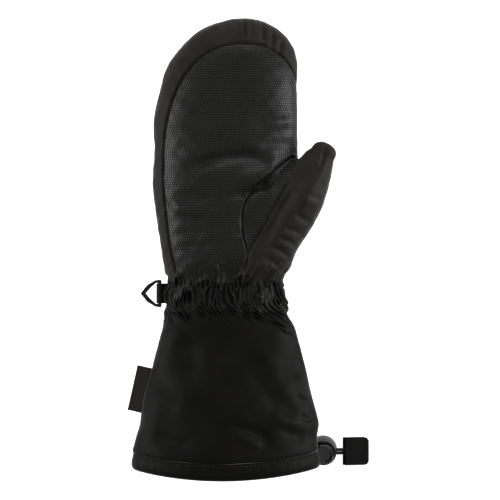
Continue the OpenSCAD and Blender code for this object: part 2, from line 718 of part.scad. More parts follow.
back_shell();
palm_patch();
thumb_shell();
thumb_gusset();
hand_insulation();
thumb_insulation();
waterproof_insert();
hand_lining();
thumb_lining();
wrist_gather();
wrist_elastic();
cuff_palm_panel();
cuff_back_panel();
cuff_padding();
cuff_lining();
hem_band();
hem_cord();
side_label();
ring_strap();
triangle_ring();
drawcord_upper();
drawcord_lower();
cord_lock_body();
cord_lock_plunger();
cord_lock_spring();
pull_tab();
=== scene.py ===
# %% [markdown]
# # A padded ski mitten, palm side up
# The mitten lies on its back, as on a shop table: a padded hand and thumb, a gathered wrist with an
# elastic band, and a long gauntlet cuff with a drawcord, a cord lock and a pull tab.
# The frame comes first. It holds the solid model, and every soft piece is sewn in the space of one of its
# nodes.

# %% Load the frame
import json
import math
import bpy
import numpy as np
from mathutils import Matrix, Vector
from mathutils.bvhtree import BVHTree
from mathutils.kdtree import KDTree


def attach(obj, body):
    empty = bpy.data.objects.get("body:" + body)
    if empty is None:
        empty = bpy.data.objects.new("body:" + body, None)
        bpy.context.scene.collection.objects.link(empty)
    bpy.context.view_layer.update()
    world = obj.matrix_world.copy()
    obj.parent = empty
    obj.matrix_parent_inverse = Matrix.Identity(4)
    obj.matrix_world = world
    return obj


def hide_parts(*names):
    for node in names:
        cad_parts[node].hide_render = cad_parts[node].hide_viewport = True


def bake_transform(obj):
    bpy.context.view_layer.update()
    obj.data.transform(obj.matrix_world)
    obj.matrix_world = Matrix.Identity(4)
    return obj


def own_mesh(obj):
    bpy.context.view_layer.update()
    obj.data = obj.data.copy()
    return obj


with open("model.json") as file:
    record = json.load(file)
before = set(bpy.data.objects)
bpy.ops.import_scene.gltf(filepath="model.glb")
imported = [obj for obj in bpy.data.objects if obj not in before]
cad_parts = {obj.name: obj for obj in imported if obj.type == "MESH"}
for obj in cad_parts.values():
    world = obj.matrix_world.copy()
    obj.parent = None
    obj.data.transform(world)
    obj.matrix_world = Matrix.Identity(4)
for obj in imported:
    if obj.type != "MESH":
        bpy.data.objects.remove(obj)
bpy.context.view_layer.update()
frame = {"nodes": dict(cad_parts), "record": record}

MM = 0.001                      # the lengths in this lesson are millimetres

# %% [markdown]
# ## Camera
# The mitten is looked at from straight above, with a long lens so that its sides don't lean out.
# The camera's height follows from the width of the view and the lens.

# %% Camera
VIEW_CENTRE = (18, -60)         # the middle of the view
VIEW_WIDTH = 375
LENS = 200
SENSOR = 36
VIEW_FLOOR = 25                 # the widest part of the mitten stands this high

camera_data = bpy.data.cameras.new("table_camera")
camera_data.lens = LENS
camera_data.sensor_width = SENSOR
camera = bpy.data.objects.new("table_camera", camera_data)
camera_height = VIEW_FLOOR + VIEW_WIDTH * LENS / SENSOR
camera.location = (VIEW_CENTRE[0] * MM, VIEW_CENTRE[1] * MM, camera_height * MM)
bpy.context.scene.collection.objects.link(camera)
bpy.context.scene.camera = camera
print("camera stands", round(camera_height), "mm above the floor")

# %% [markdown]
# ## Helpers for materials
# Each finish is a Principled shader with a few procedural nodes: noise for the unevenness of dyed
# cloth, waves for yarns, and bump for the relief that is too fine to model. The helpers keep each
# finish to a few readable lines. Uniform numbers are typed into the shader's own sockets.

# %% Material helpers
class Finish:
    """A material under construction, with its nodes at hand."""
    def __init__(self, name, roughness=0.8, **sockets):
        self.material = bpy.data.materials.new(name)
        self.material.use_nodes = True
        self.tree = self.material.node_tree
        self.shader = self.tree.nodes["Principled BSDF"]
        self.shader.inputs["Roughness"].default_value = roughness
        for socket, value in sockets.items():
            self.shader.inputs[socket.replace("_", " ")].default_value = value
        self.place = self.node("ShaderNodeTexCoord").outputs["Object"]

    def node(self, kind, inputs=None, **settings):
        made = self.tree.nodes.new(kind)
        for setting, value in settings.items():
            setattr(made, setting, value)
        for socket, value in (inputs or {}).items():
            if isinstance(value, bpy.types.NodeSocket):
                self.tree.links.new(value, made.inputs[socket])
            else:
                made.inputs[socket].default_value = value
        return made

    def noise(self, size, detail=3, stretch=(1, 1, 1)):
        """Grey noise whose blotches are about size mm across."""
        spread = self.node("ShaderNodeMapping", {"Vector": self.place, "Scale": stretch})
        return self.node("ShaderNodeTexNoise", {"Vector": spread.outputs[0],
                         "Scale": 1 / (size * MM), "Detail": detail}).outputs["Fac"]

    def yarns(self, pitch, axis, bend=0.0):
        """Ribs across one axis, pitch mm apart."""
        wave = self.node("ShaderNodeTexWave", {"Vector": self.place, "Distortion": bend,
                         "Scale": 0.314 / (pitch * MM)}, bands_direction=axis)
        return wave.outputs["Fac"]

    def times(self, a, b):
        return self.node("ShaderNodeMath", {0: a, 1: b}, operation="MULTIPLY").outputs[0]

    def colour(self, dark, light, by):
        """Base colour from dark to light, as a grey value goes from 0.3 to 0.7."""
        ramp = self.node("ShaderNodeValToRGB", {"Fac": by})
        for stop, position, shade in zip(ramp.color_ramp.elements, (0.3, 0.7), (dark, light)):
            stop.position = position
            stop.color = (*shade, 1)
        self.tree.links.new(ramp.outputs["Color"], self.shader.inputs["Base Color"])

    def relief(self, *layers):
        """Bump from (height, depth in mm) layers."""
        normal = None
        for height, depth in layers:
            inputs = {"Height": height, "Distance": depth * MM, "Strength": 1.0}
            if normal is not None:
                inputs["Normal"] = normal
            normal = self.node("ShaderNodeBump", inputs).outputs["Normal"]
        self.tree.links.new(normal, self.shader.inputs["Normal"])


def warm(value):
    """A dark dye that leans a little to brown."""
    return (value * 1.06, value, value * 0.93)


print("material helpers ready")

# %% [markdown]
# ## Cloth and rubber finishes
# The shell is a brushed softshell: matt, nearly black, with a soft sheen where it turns away from the
# eye. The palm is an embossed polyurethane, a little smoother. The cuff is a fine satin weave, darker
# and silkier. They are told apart by sheen and grain more than by colour.

# %% Outer finishes
SHEEN = {"Sheen_Weight": 0.12, "Sheen_Roughness": 0.28}


def shell_finish():
    f = Finish("shell_fabric", 0.5, Specular_IOR_Level=0.04, **SHEEN)
    blotch = f.noise(14, 4)
    f.colour(warm(0.007), warm(0.0115), blotch)
    weave = f.times(f.yarns(0.55, "X"), f.yarns(0.55, "Y"))
    f.relief((f.noise(5, 4), 0.16), (weave, 0.05), (f.noise(0.35, 2), 0.03))
    return f.material


def grip_finish():
    f = Finish("grip_palm", 0.45, Specular_IOR_Level=0.07)
    f.colour(warm(0.003), warm(0.0055), f.noise(9, 4))
    f.relief((f.noise(6, 3), 0.12), (f.noise(0.5, 3), 0.04))
    return f.material


def dot_finish():
    f = Finish("grip_dots", 0.42, Specular_IOR_Level=0.24)
    f.colour(warm(0.004), warm(0.007), f.noise(5, 3))
    f.relief((f.noise(0.4, 2), 0.015))
    return f.material


def gather_finish():
    f = Finish("gathered_fabric", 0.44, Specular_IOR_Level=0.05, Sheen_Weight=0.36, Sheen_Roughness=0.28)
    f.colour(warm(0.0035), warm(0.006), f.noise(4, 4, (3, 1, 1)))
    f.relief((f.yarns(0.5, "Y"), 0.03), (f.noise(1.2, 3), 0.06))
    return f.material


def cuff_finish():
    f = Finish("cuff_fabric", 0.42, Specular_IOR_Level=0.02, Sheen_Weight=0.38, Sheen_Roughness=0.28)
    f.colour(warm(0.0024), warm(0.0042), f.noise(22, 4))
    twill = f.times(f.yarns(0.45, "DIAGONAL"), f.yarns(0.4, "X"))
    f.relief((f.noise(9, 3), 0.12), (twill, 0.035))
    return f.material


finishes = {"shell_fabric": shell_finish(), "grip_palm": grip_finish(), "grip_dots": dot_finish(),
            "gathered_fabric": gather_finish(), "cuff_fabric": cuff_finish()}
print(len(finishes), "outer finishes")

# %% [markdown]
# ## Finishes of the small and the hidden pieces
# Webbing, label, tab and cord are woven from thicker yarns, so their ribs show. The cord lock is
# moulded plastic with a polished button. The layers inside are wadding, film, fleece and taffeta: they
# show only through the cuff, but whoever opens the model up sees them too.

# %% Small and hidden finishes
def woven_finish(name, dark, light, pitch, axis, depth, roughness=0.75, grain=2.5):
    f = Finish(name, roughness, Specular_IOR_Level=0.03, Sheen_Weight=0.01)
    f.colour(dark, light, f.noise(grain, 4))
    f.relief((f.yarns(pitch, axis), depth), (f.noise(0.4, 2), 0.02))
    return f.material


def cord_finish():
    f = Finish("shock_cord", 0.5, Specular_IOR_Level=0.1, Sheen_Weight=0.02)
    braid = f.times(f.yarns(0.9, "DIAGONAL"), f.yarns(0.7, "X", 1.5))
    f.colour(warm(0.003), warm(0.009), braid)
    f.relief((braid, 0.16))
    return f.material


def moulded_finish(name, roughness, coat):
    f = Finish(name, roughness, Specular_IOR_Level=0.1, Coat_Weight=coat, Coat_Roughness=0.06)
    f.colour((0.003, 0.003, 0.0032), (0.005, 0.005, 0.0052), f.noise(3, 3))
    f.relief((f.noise(0.6, 3), 0.01 if coat else 0.03))
    return f.material


def wire_finish():
    f = Finish("spring_wire", 0.28, Metallic=1.0)
    f.colour((0.55, 0.56, 0.58), (0.68, 0.69, 0.7), f.noise(1, 2))
    f.relief((f.noise(0.2, 2), 0.004))
    return f.material


def film_finish():
    f = Finish("membrane", 0.4, Specular_IOR_Level=0.4)
    f.colour((0.34, 0.36, 0.38), (0.42, 0.44, 0.46), f.noise(8, 3))
    f.relief((f.noise(4, 4), 0.2))
    return f.material


WHITE_DARK = (0.66, 0.66, 0.63)
WHITE_LIGHT = (0.78, 0.78, 0.76)
finishes.update({
    "webbing": woven_finish("webbing", warm(0.004), warm(0.008), 1.1, "Y", 0.12, 0.5),
    "label_weave": woven_finish("label_weave", warm(0.018), warm(0.023), 0.5, "Y", 0.04, 0.6, 1.2),
    "tab_ribbon": woven_finish("tab_ribbon", warm(0.0008), warm(0.0022), 0.8, "X", 0.08, 0.5),
    "thread": woven_finish("thread", warm(0.009), warm(0.016), 0.3, "DIAGONAL", 0.04, 0.45),
    "lining_fleece": woven_finish("lining_fleece", warm(0.008), warm(0.014), 1.6, "X", 0.15, 0.95),
    "cuff_lining_taffeta": woven_finish("cuff_lining_taffeta", warm(0.009), warm(0.013), 0.4, "Y",
                                        0.03, 0.5, 12),
    "insulation": woven_finish("insulation", WHITE_DARK, WHITE_LIGHT, 3, "X", 0.3, 0.95),
    "elastic": woven_finish("elastic", WHITE_DARK, WHITE_LIGHT, 1.2, "Y", 0.15, 0.8),
    "shock_cord": cord_finish(), "membrane": film_finish(), "spring_wire": wire_finish(),
    "moulded_plastic": moulded_finish("moulded_plastic", 0.34, 0.0),
    "gloss_button": moulded_finish("gloss_button", 0.2, 0.4)})
print("finishes:", ", ".join(sorted(finishes)))

# %% [markdown]
# ## Making a piece
# Every piece starts as points and faces worked out in millimetres, becomes a mesh, takes a finish,
# rides on its body and says which solid nodes it stands for. One helper does all of that, so that no
# piece is left floating or unfinished.

# %% Piece helpers
TABLE_GAP = 0.05                # no cloth comes closer to the table
replaced = set()                # the solid nodes that a piece stands for


def make_piece(name, points, faces, finish, body="mitten", stands_for=(), slot=None):
    """A smooth mesh from points in mm, with its finish, its body and its solid nodes; slot is not used."""
    mesh = bpy.data.meshes.new(name)
    mesh.from_pydata((np.asarray(points, float) * MM).tolist(), [], [tuple(f) for f in faces])
    mesh.validate()
    mesh.shade_smooth()
    piece = bpy.data.objects.new(name, mesh)
    bpy.context.scene.collection.objects.link(piece)
    mesh.materials.append(finishes[finish])
    if body:
        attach(piece, body)
    if stands_for:
        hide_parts(*stands_for)
    replaced.update(stands_for)
    print(f"{name}: {len(mesh.polygons)} faces")
    return piece


def unit(vectors):
    """Vectors, or rows of them, scaled to length 1."""
    vectors = np.asarray(vectors, float)
    return vectors / np.maximum(np.linalg.norm(vectors, axis=-1, keepdims=True), 1e-9)


def smooth_step(value, start, end):
    """0 before start, 1 after end, and a soft rise between them."""
    t = np.clip((value - start) / (end - start), 0, 1)
    return t * t * (3 - 2 * t)


def above_table(points, gap=TABLE_GAP):
    """The same points, held off the table."""
    points[..., 2] = np.maximum(points[..., 2], gap)
    return points


def running_length(line):
    """How far along a line each of its points lies."""
    return np.concatenate([[0], np.cumsum(np.linalg.norm(np.diff(line, axis=0), axis=1))])


def read_off(line, at, keys):
    """Points of a line, read off where its keys have some values."""
    return np.column_stack([np.interp(at, keys, axis) for axis in line.T])


def spread_evenly(line, count):
    """A line with evenly spaced points, and how far along each one lies."""
    lengths = running_length(line)
    fine = np.linspace(0, lengths[-1], count)
    return read_off(line, fine, lengths), fine


# %% [markdown]
# ## The two free cord ends
# The drawcord's ends leave an outlet in the hem, pass side by side through the cord lock and end in the pull
# tab. Each is a short stretch of braided elastic, laid as a round tube whose skin carries the diamonds of
# the braid. It stretches when the tab is pulled.
# The route is the solid model's, given from the middle of the lock.

# %% Cords
CORD_D = 2.5
LOCK_LEAN = math.radians(16)    # the lock leans over, about its cords
LOCK_CENTRE = np.array([73.31, -212, 10.313])
CORD_ROUTE = np.array([
    [-23, -8, 0], [-20.5, -8, -0.5], [-18, -7.2, -1], [-15.5, -4.8, -1], [-13.5, -2, -0.5],
    [-11.5, -0.4, -0.1], [-9, 0, 0], [-4, 0, 0], [0, 0, 0], [5, 0, 0], [11, 0, 0], [14, 0, 0],
    [17, 0, -0.6], [20, 0, -1.6], [23, 0, -2.5], [27, 0, -3.7]])
CORD_ASIDE = CORD_D / 2 + 0.1
CORD_SIDES = 24
BRAID_TURNS, BRAID_TALL = 2.6, 0.07
LEAN_UP = np.array([0, -math.sin(LOCK_LEAN), math.cos(LOCK_LEAN)])


def headings(route):
    """The direction of a route at each of its points."""
    ahead = np.vstack([route[1:], route[-1:]])
    behind = np.vstack([route[:1], route[:-1]])
    return unit(ahead - behind)


def cord_line(side):
    """One strand's points, beside the shared route."""
    return LOCK_CENTRE + CORD_ROUTE + side * CORD_ASIDE * unit(np.cross(LEAN_UP, headings(CORD_ROUTE)))


def grid_faces(rows, columns, closed=False):
    """The faces of a grid of points, which may close round its columns."""
    return [(r * columns + c, r * columns + (c + 1) % columns,
             (r + 1) * columns + (c + 1) % columns, (r + 1) * columns + c)
            for r in range(rows - 1) for c in range(columns if closed else columns - 1)]


def tube_of(line, radius, sides):
    """Points and faces of a round tube along a line, closed at both ends."""
    ahead = headings(line)
    across = unit(np.cross(ahead, LEAN_UP))
    up = np.cross(across, ahead)
    turn = np.linspace(0, 2 * math.pi, sides, endpoint=False)
    radius = np.broadcast_to(radius, (len(line), sides))[..., None]
    rings = line[:, None] + radius * (
        across[:, None] * np.cos(turn)[:, None] + up[:, None] * np.sin(turn)[:, None])
    faces = grid_faces(len(line), sides, True)
    faces += [tuple(range(sides))[::-1], tuple((len(line) - 1) * sides + k for k in range(sides))]
    return rings.reshape(-1, 3), faces


def braided(line):
    """A cord's radius round and along it, with the diamonds of its braid."""
    along = running_length(line)[:, None] * BRAID_TURNS
    turn = 4 * np.linspace(0, 2 * math.pi, CORD_SIDES, endpoint=False)[None]
    return CORD_D / 2 + BRAID_TALL * np.sin(along + turn) * np.sin(along - turn)


cords = {}
for name, side in (("drawcord_upper", 1), ("drawcord_lower", -1)):
    route = cord_line(side)
    line = read_off(route, np.linspace(0, len(route) - 1, 180), range(len(route)))
    cord = make_piece(name + "_braid", *tube_of(line, braided(line), CORD_SIDES), "shock_cord", body=None,
                      stands_for=[name])
    cords[name] = (cord, line)
    print(name, "is", round(running_length(line)[-1], 1), "mm long")

# %% [markdown]
# ## The shape of the padded hand
# A padded mitten has no flat pattern that shows: it is a swollen bag. Its surface is described as the
# place where a "depth" function is zero, which is positive inside. The hand is a squarish oval that
# widens from the wrist and closes in a curve over the fingers, and the thumb is a second, tilted one.
# Two depths can be blended, which gives the soft web between the thumb and the palm for free.

# %% Sizes of the hand
PALM_W, PALM_T = 107, 46
WRIST_W, WRIST_T = 84, 40
WRIST_Y, TIP_Y = -84, 112.5
REST_SINK = 1.5                 # the padding flattens this much on the table
MID_Z = PALM_T / 2 - REST_SINK
TIP_SHIFT = 12                  # the finger curve's peak, towards the thumb
OUTER_CURVE, INNER_CURVE = 90, 46
OUTER_POWER, INNER_POWER, TOP_POWER = 2.2, 2.4, 2.6     # how squarely each curve closes
HAND_POWER, PALM_POWER = 2.4, 2.15     # how square the wrist's and the palm's sections are


def closing(y, start, end, power):
    """1 before the finger curve starts, and down to 0 at its end."""
    t = np.clip((y - start) / (end - start), 0, 1)
    return (1 - t ** power) ** (1 / power)


def filling(y):
    """From 0 at the wrist to 1 in the middle of the palm."""
    t = np.clip((y - WRIST_Y) / -WRIST_Y, 0, 1)
    return 1 - (1 - t) ** 2


def hand_half(y):
    return WRIST_W / 2 + (PALM_W - WRIST_W) / 2 * filling(y)


def oval_depth(across, up, half_w, half_t, power):
    """About how deep a point lies inside a squarish oval."""
    half_w, half_t = np.maximum(half_w, 0.05), np.maximum(half_t, 0.05)
    u, v = np.abs(across) / half_w, np.abs(up) / half_t
    r = np.maximum((u ** power + v ** power) ** (1 / power), 1e-6)
    slope = np.hypot((u / r) ** (power - 1) / half_w, (v / r) ** (power - 1) / half_t)
    return (1 - r) / slope


def hand_edges(y, outer_in, inner_in, band, tip_in):
    """The hand's two edges on the plan, drawn in at the sides, the finger curve and the tip."""
    left = TIP_SHIFT - (TIP_SHIFT + hand_half(y) - outer_in) * closing(
        y, TIP_Y - OUTER_CURVE - band, TIP_Y - tip_in, OUTER_POWER)
    right = TIP_SHIFT + (hand_half(y) - inner_in - TIP_SHIFT) * closing(
        y, TIP_Y - INNER_CURVE - band, TIP_Y - tip_in, INNER_POWER)
    return left, right


def hand_depth(x, y, z, inset=0.0):
    left, right = hand_edges(y, inset, inset, 0, inset)
    half_t = (WRIST_T / 2 + (PALM_T - WRIST_T) / 2 * filling(y) - inset) * closing(
        y, TIP_Y - OUTER_CURVE, TIP_Y - inset, TOP_POWER)
    power = HAND_POWER + (PALM_POWER - HAND_POWER) * filling(y)
    depth = oval_depth(x - (left + right) / 2, z - MID_Z, (right - left) / 2, half_t, power)
    return np.minimum(depth, TIP_Y - inset - y)


# %% [markdown]
# The thumb leans out from a root low in the palm, is widest over its knuckle and tapers to a rounded
# tip. Its root fades into the palm, as the ball of a thumb does.

# %% Sizes of the thumb
THUMB_LEN, THUMB_R, THUMB_TIP_R = 102, 20.6, 8.6
THUMB_LEAN = math.radians(31)
THUMB_FLAT = 0.82               # a thumb's thickness to its width
THUMB_RISE = 9
THUMB_ROOT = np.array([24, -69, 26.5])
KNUCKLE = 58
THUMB_BEND = 1.2                # its middle lies this much towards the palm
ROOT_FADE = 40                  # length of the ball of the thumb below the root
THUMB_AXIS = np.array([math.sin(THUMB_LEAN), math.cos(THUMB_LEAN)])
THUMB_SIDE = np.array([math.cos(THUMB_LEAN), -math.sin(THUMB_LEAN)])
TAPER_POWER, THUMB_TIP_POWER, THUMB_POWER = 1.3, 2.7, 2.2
WEB_SOFT, TABLE_SOFT = 7, 3     # how softly the thumb joins the palm, and the padding meets the table


def on_thumb_axes(x, y):
    """How far along the thumb a place on the plan is, and how far across."""
    dx, dy = x - THUMB_ROOT[0], y - THUMB_ROOT[1]
    return dx * THUMB_AXIS[0] + dy * THUMB_AXIS[1], dx * THUMB_SIDE[0] + dy * THUMB_SIDE[1]


def by_thumb(along, across):
    """A place on the plan, from the thumb's root."""
    return THUMB_ROOT[:2] + THUMB_AXIS * along + THUMB_SIDE * across


def thumb_half(s):
    taper = np.clip((s - KNUCKLE) / (THUMB_LEN - THUMB_TIP_R - KNUCKLE), 0, 1) ** TAPER_POWER
    root = np.sqrt(np.clip(1 - (np.minimum(s, 0) / ROOT_FADE) ** 2, 0, 1))
    return (THUMB_R + (THUMB_TIP_R - THUMB_R) * taper) * root


def thumb_depth(x, y, z, inset=0.0):
    s, across = on_thumb_axes(x, y)
    across = across + THUMB_BEND * np.sin(math.pi * np.clip(s / THUMB_LEN, 0, 1))
    up = z - THUMB_ROOT[2] - THUMB_RISE * s / THUMB_LEN
    end = closing(s, THUMB_LEN - THUMB_TIP_R, THUMB_LEN - inset, THUMB_TIP_POWER)
    half = (thumb_half(s) - inset) * end
    depth = oval_depth(across, up, half, half * THUMB_FLAT, THUMB_POWER)
    return np.minimum(depth, THUMB_LEN - inset - s) - 5 * smooth_step(y, -70, -86)


def blend_depths(a, b, softness):
    """The union of two depths, with a fillet about softness mm wide."""
    near = np.maximum(softness - np.abs(a - b), 0) / softness
    return np.maximum(a, b) + near * near * softness / 4


def mitten_depth(x, y, z):
    both = blend_depths(hand_depth(x, y, z), thumb_depth(x, y, z), WEB_SOFT)
    return -blend_depths(-both, -z, TABLE_SOFT)      # the table flattens the padding softly


print("palm", PALM_W, "mm wide; thumb", THUMB_LEN, "mm long from its root")

# %% [markdown]
# ## From a depth to a mesh
# The space is filled with small cells. Each cell that the surface passes through gets one point, and
# each cell edge that it crosses gets one face between the four cells round it. Then every point slides
# along the depth's slope until the depth is zero, so the mesh is smooth and not stepped.

# %% Meshing a depth
def skin_of(depth, low, high, step):
    """Points and triangles where a depth is zero, between two corners of a box."""
    axes = [np.arange(a, b + step, step) for a, b in zip(low, high)]
    value = depth(*np.meshgrid(*axes, indexing="ij"))
    cells = np.array(value.shape) - 1
    total, count, quads = np.zeros((*cells, 3)), np.zeros(cells), []
    for axis in range(3):
        near = value[tuple(slice(0, -1) if a == axis else slice(None) for a in range(3))]
        far = value[tuple(slice(1, None) if a == axis else slice(None) for a in range(3))]
        at = np.argwhere((near > 0) != (far > 0))
        a, b = near[tuple(at.T)], far[tuple(at.T)]
        crossing = at.astype(float)
        crossing[:, axis] += a / (a - b)
        round_it = []
        for back_1, back_2 in ((1, 1), (0, 1), (0, 0), (1, 0)):
            cell = at.copy()
            cell[:, (axis + 1) % 3] -= back_1
            cell[:, (axis + 2) % 3] -= back_2
            round_it.append(cell)
        whole = np.all([(c >= 0).all(1) & (c < cells).all(1) for c in round_it], axis=0)
        for cell in round_it:
            np.add.at(total, tuple(cell[whole].T), crossing[whole])
            np.add.at(count, tuple(cell[whole].T), 1)
        faces = np.stack([np.ravel_multi_index(c[whole].T, cells) for c in round_it], axis=1)
        quads.append(np.where((a[whole] > 0)[:, None], faces, faces[:, ::-1]))
    quads = np.concatenate(quads)
    used, corners = np.unique(quads, return_inverse=True)
    corners = corners.reshape(quads.shape)
    place = np.unravel_index(used, cells)
    points = np.array(low) + step * total[place] / count[place][:, None]
    triangles = np.concatenate([corners[:, [0, 1, 2]], corners[:, [0, 2, 3]]])
    return settle_on(depth, points), triangles


def slope_of(depth, points):
    """Which way a depth grows at each point, and how fast."""
    small = 0.02
    steps = np.eye(3) * small
    return np.stack([(depth(*(points + s).T) - depth(*(points - s).T)) / (2 * small) for s in steps], 1)


def settle_on(depth, points, rounds=5):
    for _ in range(rounds):
        slope = slope_of(depth, points)
        move = -depth(*points.T)[:, None] * slope / np.maximum((slope ** 2).sum(1), 1e-3)[:, None]
        far = np.maximum(np.linalg.norm(move, axis=1, keepdims=True), 1e-9)
        points = points + move * np.minimum(1, 0.8 / far)
    return points


print("meshing helpers ready")

# %% [markdown]
# ## Cutting the mesh
# Cloth is cut where its pattern says, not where a mesh happens to have an edge. So each triangle that
# a line runs through is split on the line. The same cut makes the mesh end cleanly at the wrist.

# %% Cutting and the hand's skin
def cut_along(points, triangles, level):
    """Splits the triangles so that an edge runs wherever level is zero."""
    level = np.where(np.abs(level) < 0.02, 0, level)
    sides = np.sort(triangles[:, [[0, 1], [1, 2], [2, 0]]].reshape(-1, 2), axis=1)
    crossed = np.unique(sides[level[sides[:, 0]] * level[sides[:, 1]] < 0], axis=0)
    a, b = crossed.T
    share = (level[a] / (level[a] - level[b]))[:, None]
    new = points[a] + share * (points[b] - points[a])
    key = {(int(i), int(j)): len(points) + n for n, (i, j) in enumerate(crossed)}
    hit = (level[triangles] > 0).any(1) & (level[triangles] < 0).any(1)
    made = []
    for tri in triangles[hit].tolist():
        ring = []
        for i, j in ((0, 1), (1, 2), (2, 0)):
            ring.append(tri[i])
            middle = key.get((min(tri[i], tri[j]), max(tri[i], tri[j])))
            if middle is not None:
                ring.append(middle)
        values = [level[v] if v < len(level) else 0.0 for v in ring]
        for sign in (1, -1):
            part = [v for v, value in zip(ring, values) if value * sign >= 0]
            made += [[part[0], part[k], part[k + 1]] for k in range(1, len(part) - 1)]
    return np.vstack([points, new]), np.vstack([triangles[~hit], np.array(made, int).reshape(-1, 3)])


STEP = 1.05
skin_points, skin_faces = skin_of(mitten_depth, (-60, WRIST_Y - 3, -3), (86, 116, 54), STEP)
skin_points, skin_faces = cut_along(skin_points, skin_faces, skin_points[:, 1] - WRIST_Y)
skin_faces = skin_faces[skin_points[skin_faces].mean(1)[:, 1] > WRIST_Y]
print("skin of the hand:", len(skin_points), "points,", len(skin_faces), "triangles")

# %% [markdown]
# ## Seams
# The outer shell is cut from four cloths: the grip patch over the palm, a grip gusset round the ball
# of the thumb, the thumb's own cloth, and the back, which wraps round to the palm's outer edge.
# Each seam is an outline on the plan. The skin is split exactly along it, so that neighbours share
# their seam points and can be pulled down into one groove.

# %% Seam outlines
SIDE_BAND, TIP_BAND, INNER_BAND = 6.5, 18, -1.5     # below zero the patch wraps the edge


def inside_of(outline, x, y):
    """Distance inside a closed outline, negative outside it."""
    nearest, inside = np.full(np.shape(x), 1e9), np.zeros(np.shape(x), bool)
    for (ax, ay), (bx, by) in zip(outline, np.roll(outline, -1, axis=0)):
        dx, dy = bx - ax, by - ay
        t = np.clip(((x - ax) * dx + (y - ay) * dy) / (dx * dx + dy * dy + 1e-9), 0, 1)
        nearest = np.minimum(nearest, np.hypot(x - ax - t * dx, y - ay - t * dy))
        if ay != by:
            inside ^= ((ay > y) != (by > y)) & (x < ax + (y - ay) * dx / dy)
    return np.where(inside, nearest, -nearest)


def soft_line(knots, per_knot=8):
    """A smooth line through a few points."""
    knots = np.asarray(knots, float)
    padded = np.vstack([2 * knots[0] - knots[1], knots, 2 * knots[-1] - knots[-2]])
    line = []
    for p0, p1, p2, p3 in zip(padded, padded[1:], padded[2:], padded[3:]):
        for t in np.arange(per_knot) / per_knot:
            line.append(0.5 * (2 * p1 + (p2 - p0) * t + (2 * p0 - 5 * p1 + 4 * p2 - p3) * t ** 2
                               + (3 * p1 - p0 - 3 * p2 + p3) * t ** 3))
    return np.array(line + [knots[-1]])


patch_y = WRIST_Y - 6 + (TIP_Y - TIP_BAND - WRIST_Y + 6) * np.sin(np.linspace(0, math.pi / 2, 60))
patch_left, patch_right = hand_edges(patch_y, SIDE_BAND, INNER_BAND, TIP_BAND, TIP_BAND)
PATCH = np.vstack([np.column_stack([patch_left, patch_y]), np.column_stack([patch_right, patch_y])[::-1]])

gusset_point, gusset_crotch = by_thumb(2, -10), by_thumb(76, -11.5)
GUSSET = soft_line([gusset_point, by_thumb(14, -22), by_thumb(26, -29), by_thumb(36, -31.5),
                    by_thumb(54, -28), by_thumb(80, -18.5), gusset_crotch])
web_end = np.array([PALM_W / 2 + 0.6, by_thumb(82, -15)[1]])
THUMB_CLOTH = np.array([
    (gusset_point[0] - 3, WRIST_Y - 5), gusset_point, gusset_crotch, web_end,
    (web_end[0], TIP_Y), (2 * PALM_W, TIP_Y), (2 * PALM_W, WRIST_Y - 5)])
CLOTH_FLOOR = {"patch": MID_Z, "gusset": MID_Z + 5, "thumb": 12}    # each cloth ends above this


def cloth_level(outline, floor, points):
    """Above 0 where a point belongs to a cloth."""
    return np.minimum(inside_of(outline, points[:, 0], points[:, 1]), points[:, 2] - floor)


cloth_outlines = {"gusset": GUSSET, "thumb": THUMB_CLOTH, "patch": PATCH}
for cloth, outline in cloth_outlines.items():
    level = cloth_level(outline, CLOTH_FLOOR[cloth], skin_points)
    skin_points, skin_faces = cut_along(skin_points, skin_faces, level)
middles = skin_points[skin_faces].mean(1)
belongs = np.full(len(skin_faces), "back", dtype="<U6")
for cloth in ("patch", "thumb", "gusset"):
    belongs[cloth_level(cloth_outlines[cloth], CLOTH_FLOOR[cloth], middles) > 0] = cloth
print({cloth: int((belongs == cloth).sum()) for cloth in ("back", "patch", "thumb", "gusset")})

# %% [markdown]
# ## Gathers
# At the wrist the shell is drawn up by an elastic, sewn to it in two rows. The cloth stands in small
# crumpled ridges that fork and slant, and each row of stitches nips it in. One function gives the height
# of the ridges all round, and the hand, the wrist and the cuff all use it, so that their pleats meet.

# %% The gathers' height
CUFF_Y = WRIST_Y - 22
STITCH_ROWS = (-88.5, -101.5)
RIDGE_HEIGHT = 3.1
FAN, FAN_REACH = 0.0003, 8      # how the folds sweep aside below the elastic
FAN_START = -97
TAIL_UP, TAIL_DOWN = 14, 10     # how far the ridges run onto the hand and onto the cuff
TAIL_UP_UNEVEN, TAIL_DOWN_UNEVEN = 7, 6
STITCH_NIP = 0.4                # the rows of stitches pull the cloth in by this much
rng = np.random.default_rng(7)


def round_waves(count, low, high, slope):
    """Waves that close round the wrist: how many go round, slant and start."""
    return [(int(rng.integers(low, high)), rng.uniform(-slope, slope), rng.uniform(0, 2 * math.pi))
            for _ in range(count)]


ridge_waves = round_waves(11, 14, 42, 0.34)
strength_waves = round_waves(6, 6, 19, 0.4)
upper_waves = round_waves(5, 7, 30, 0)
lower_waves = round_waves(5, 5, 24, 0)


def uneven(table, share, y):
    """The sum of some waves round the wrist, about -1 to 1."""
    return sum(np.sin(2 * math.pi * count * share + slant * (y + 95) + start)
               for count, slant, start in table) / (len(table) / 2) ** 0.5


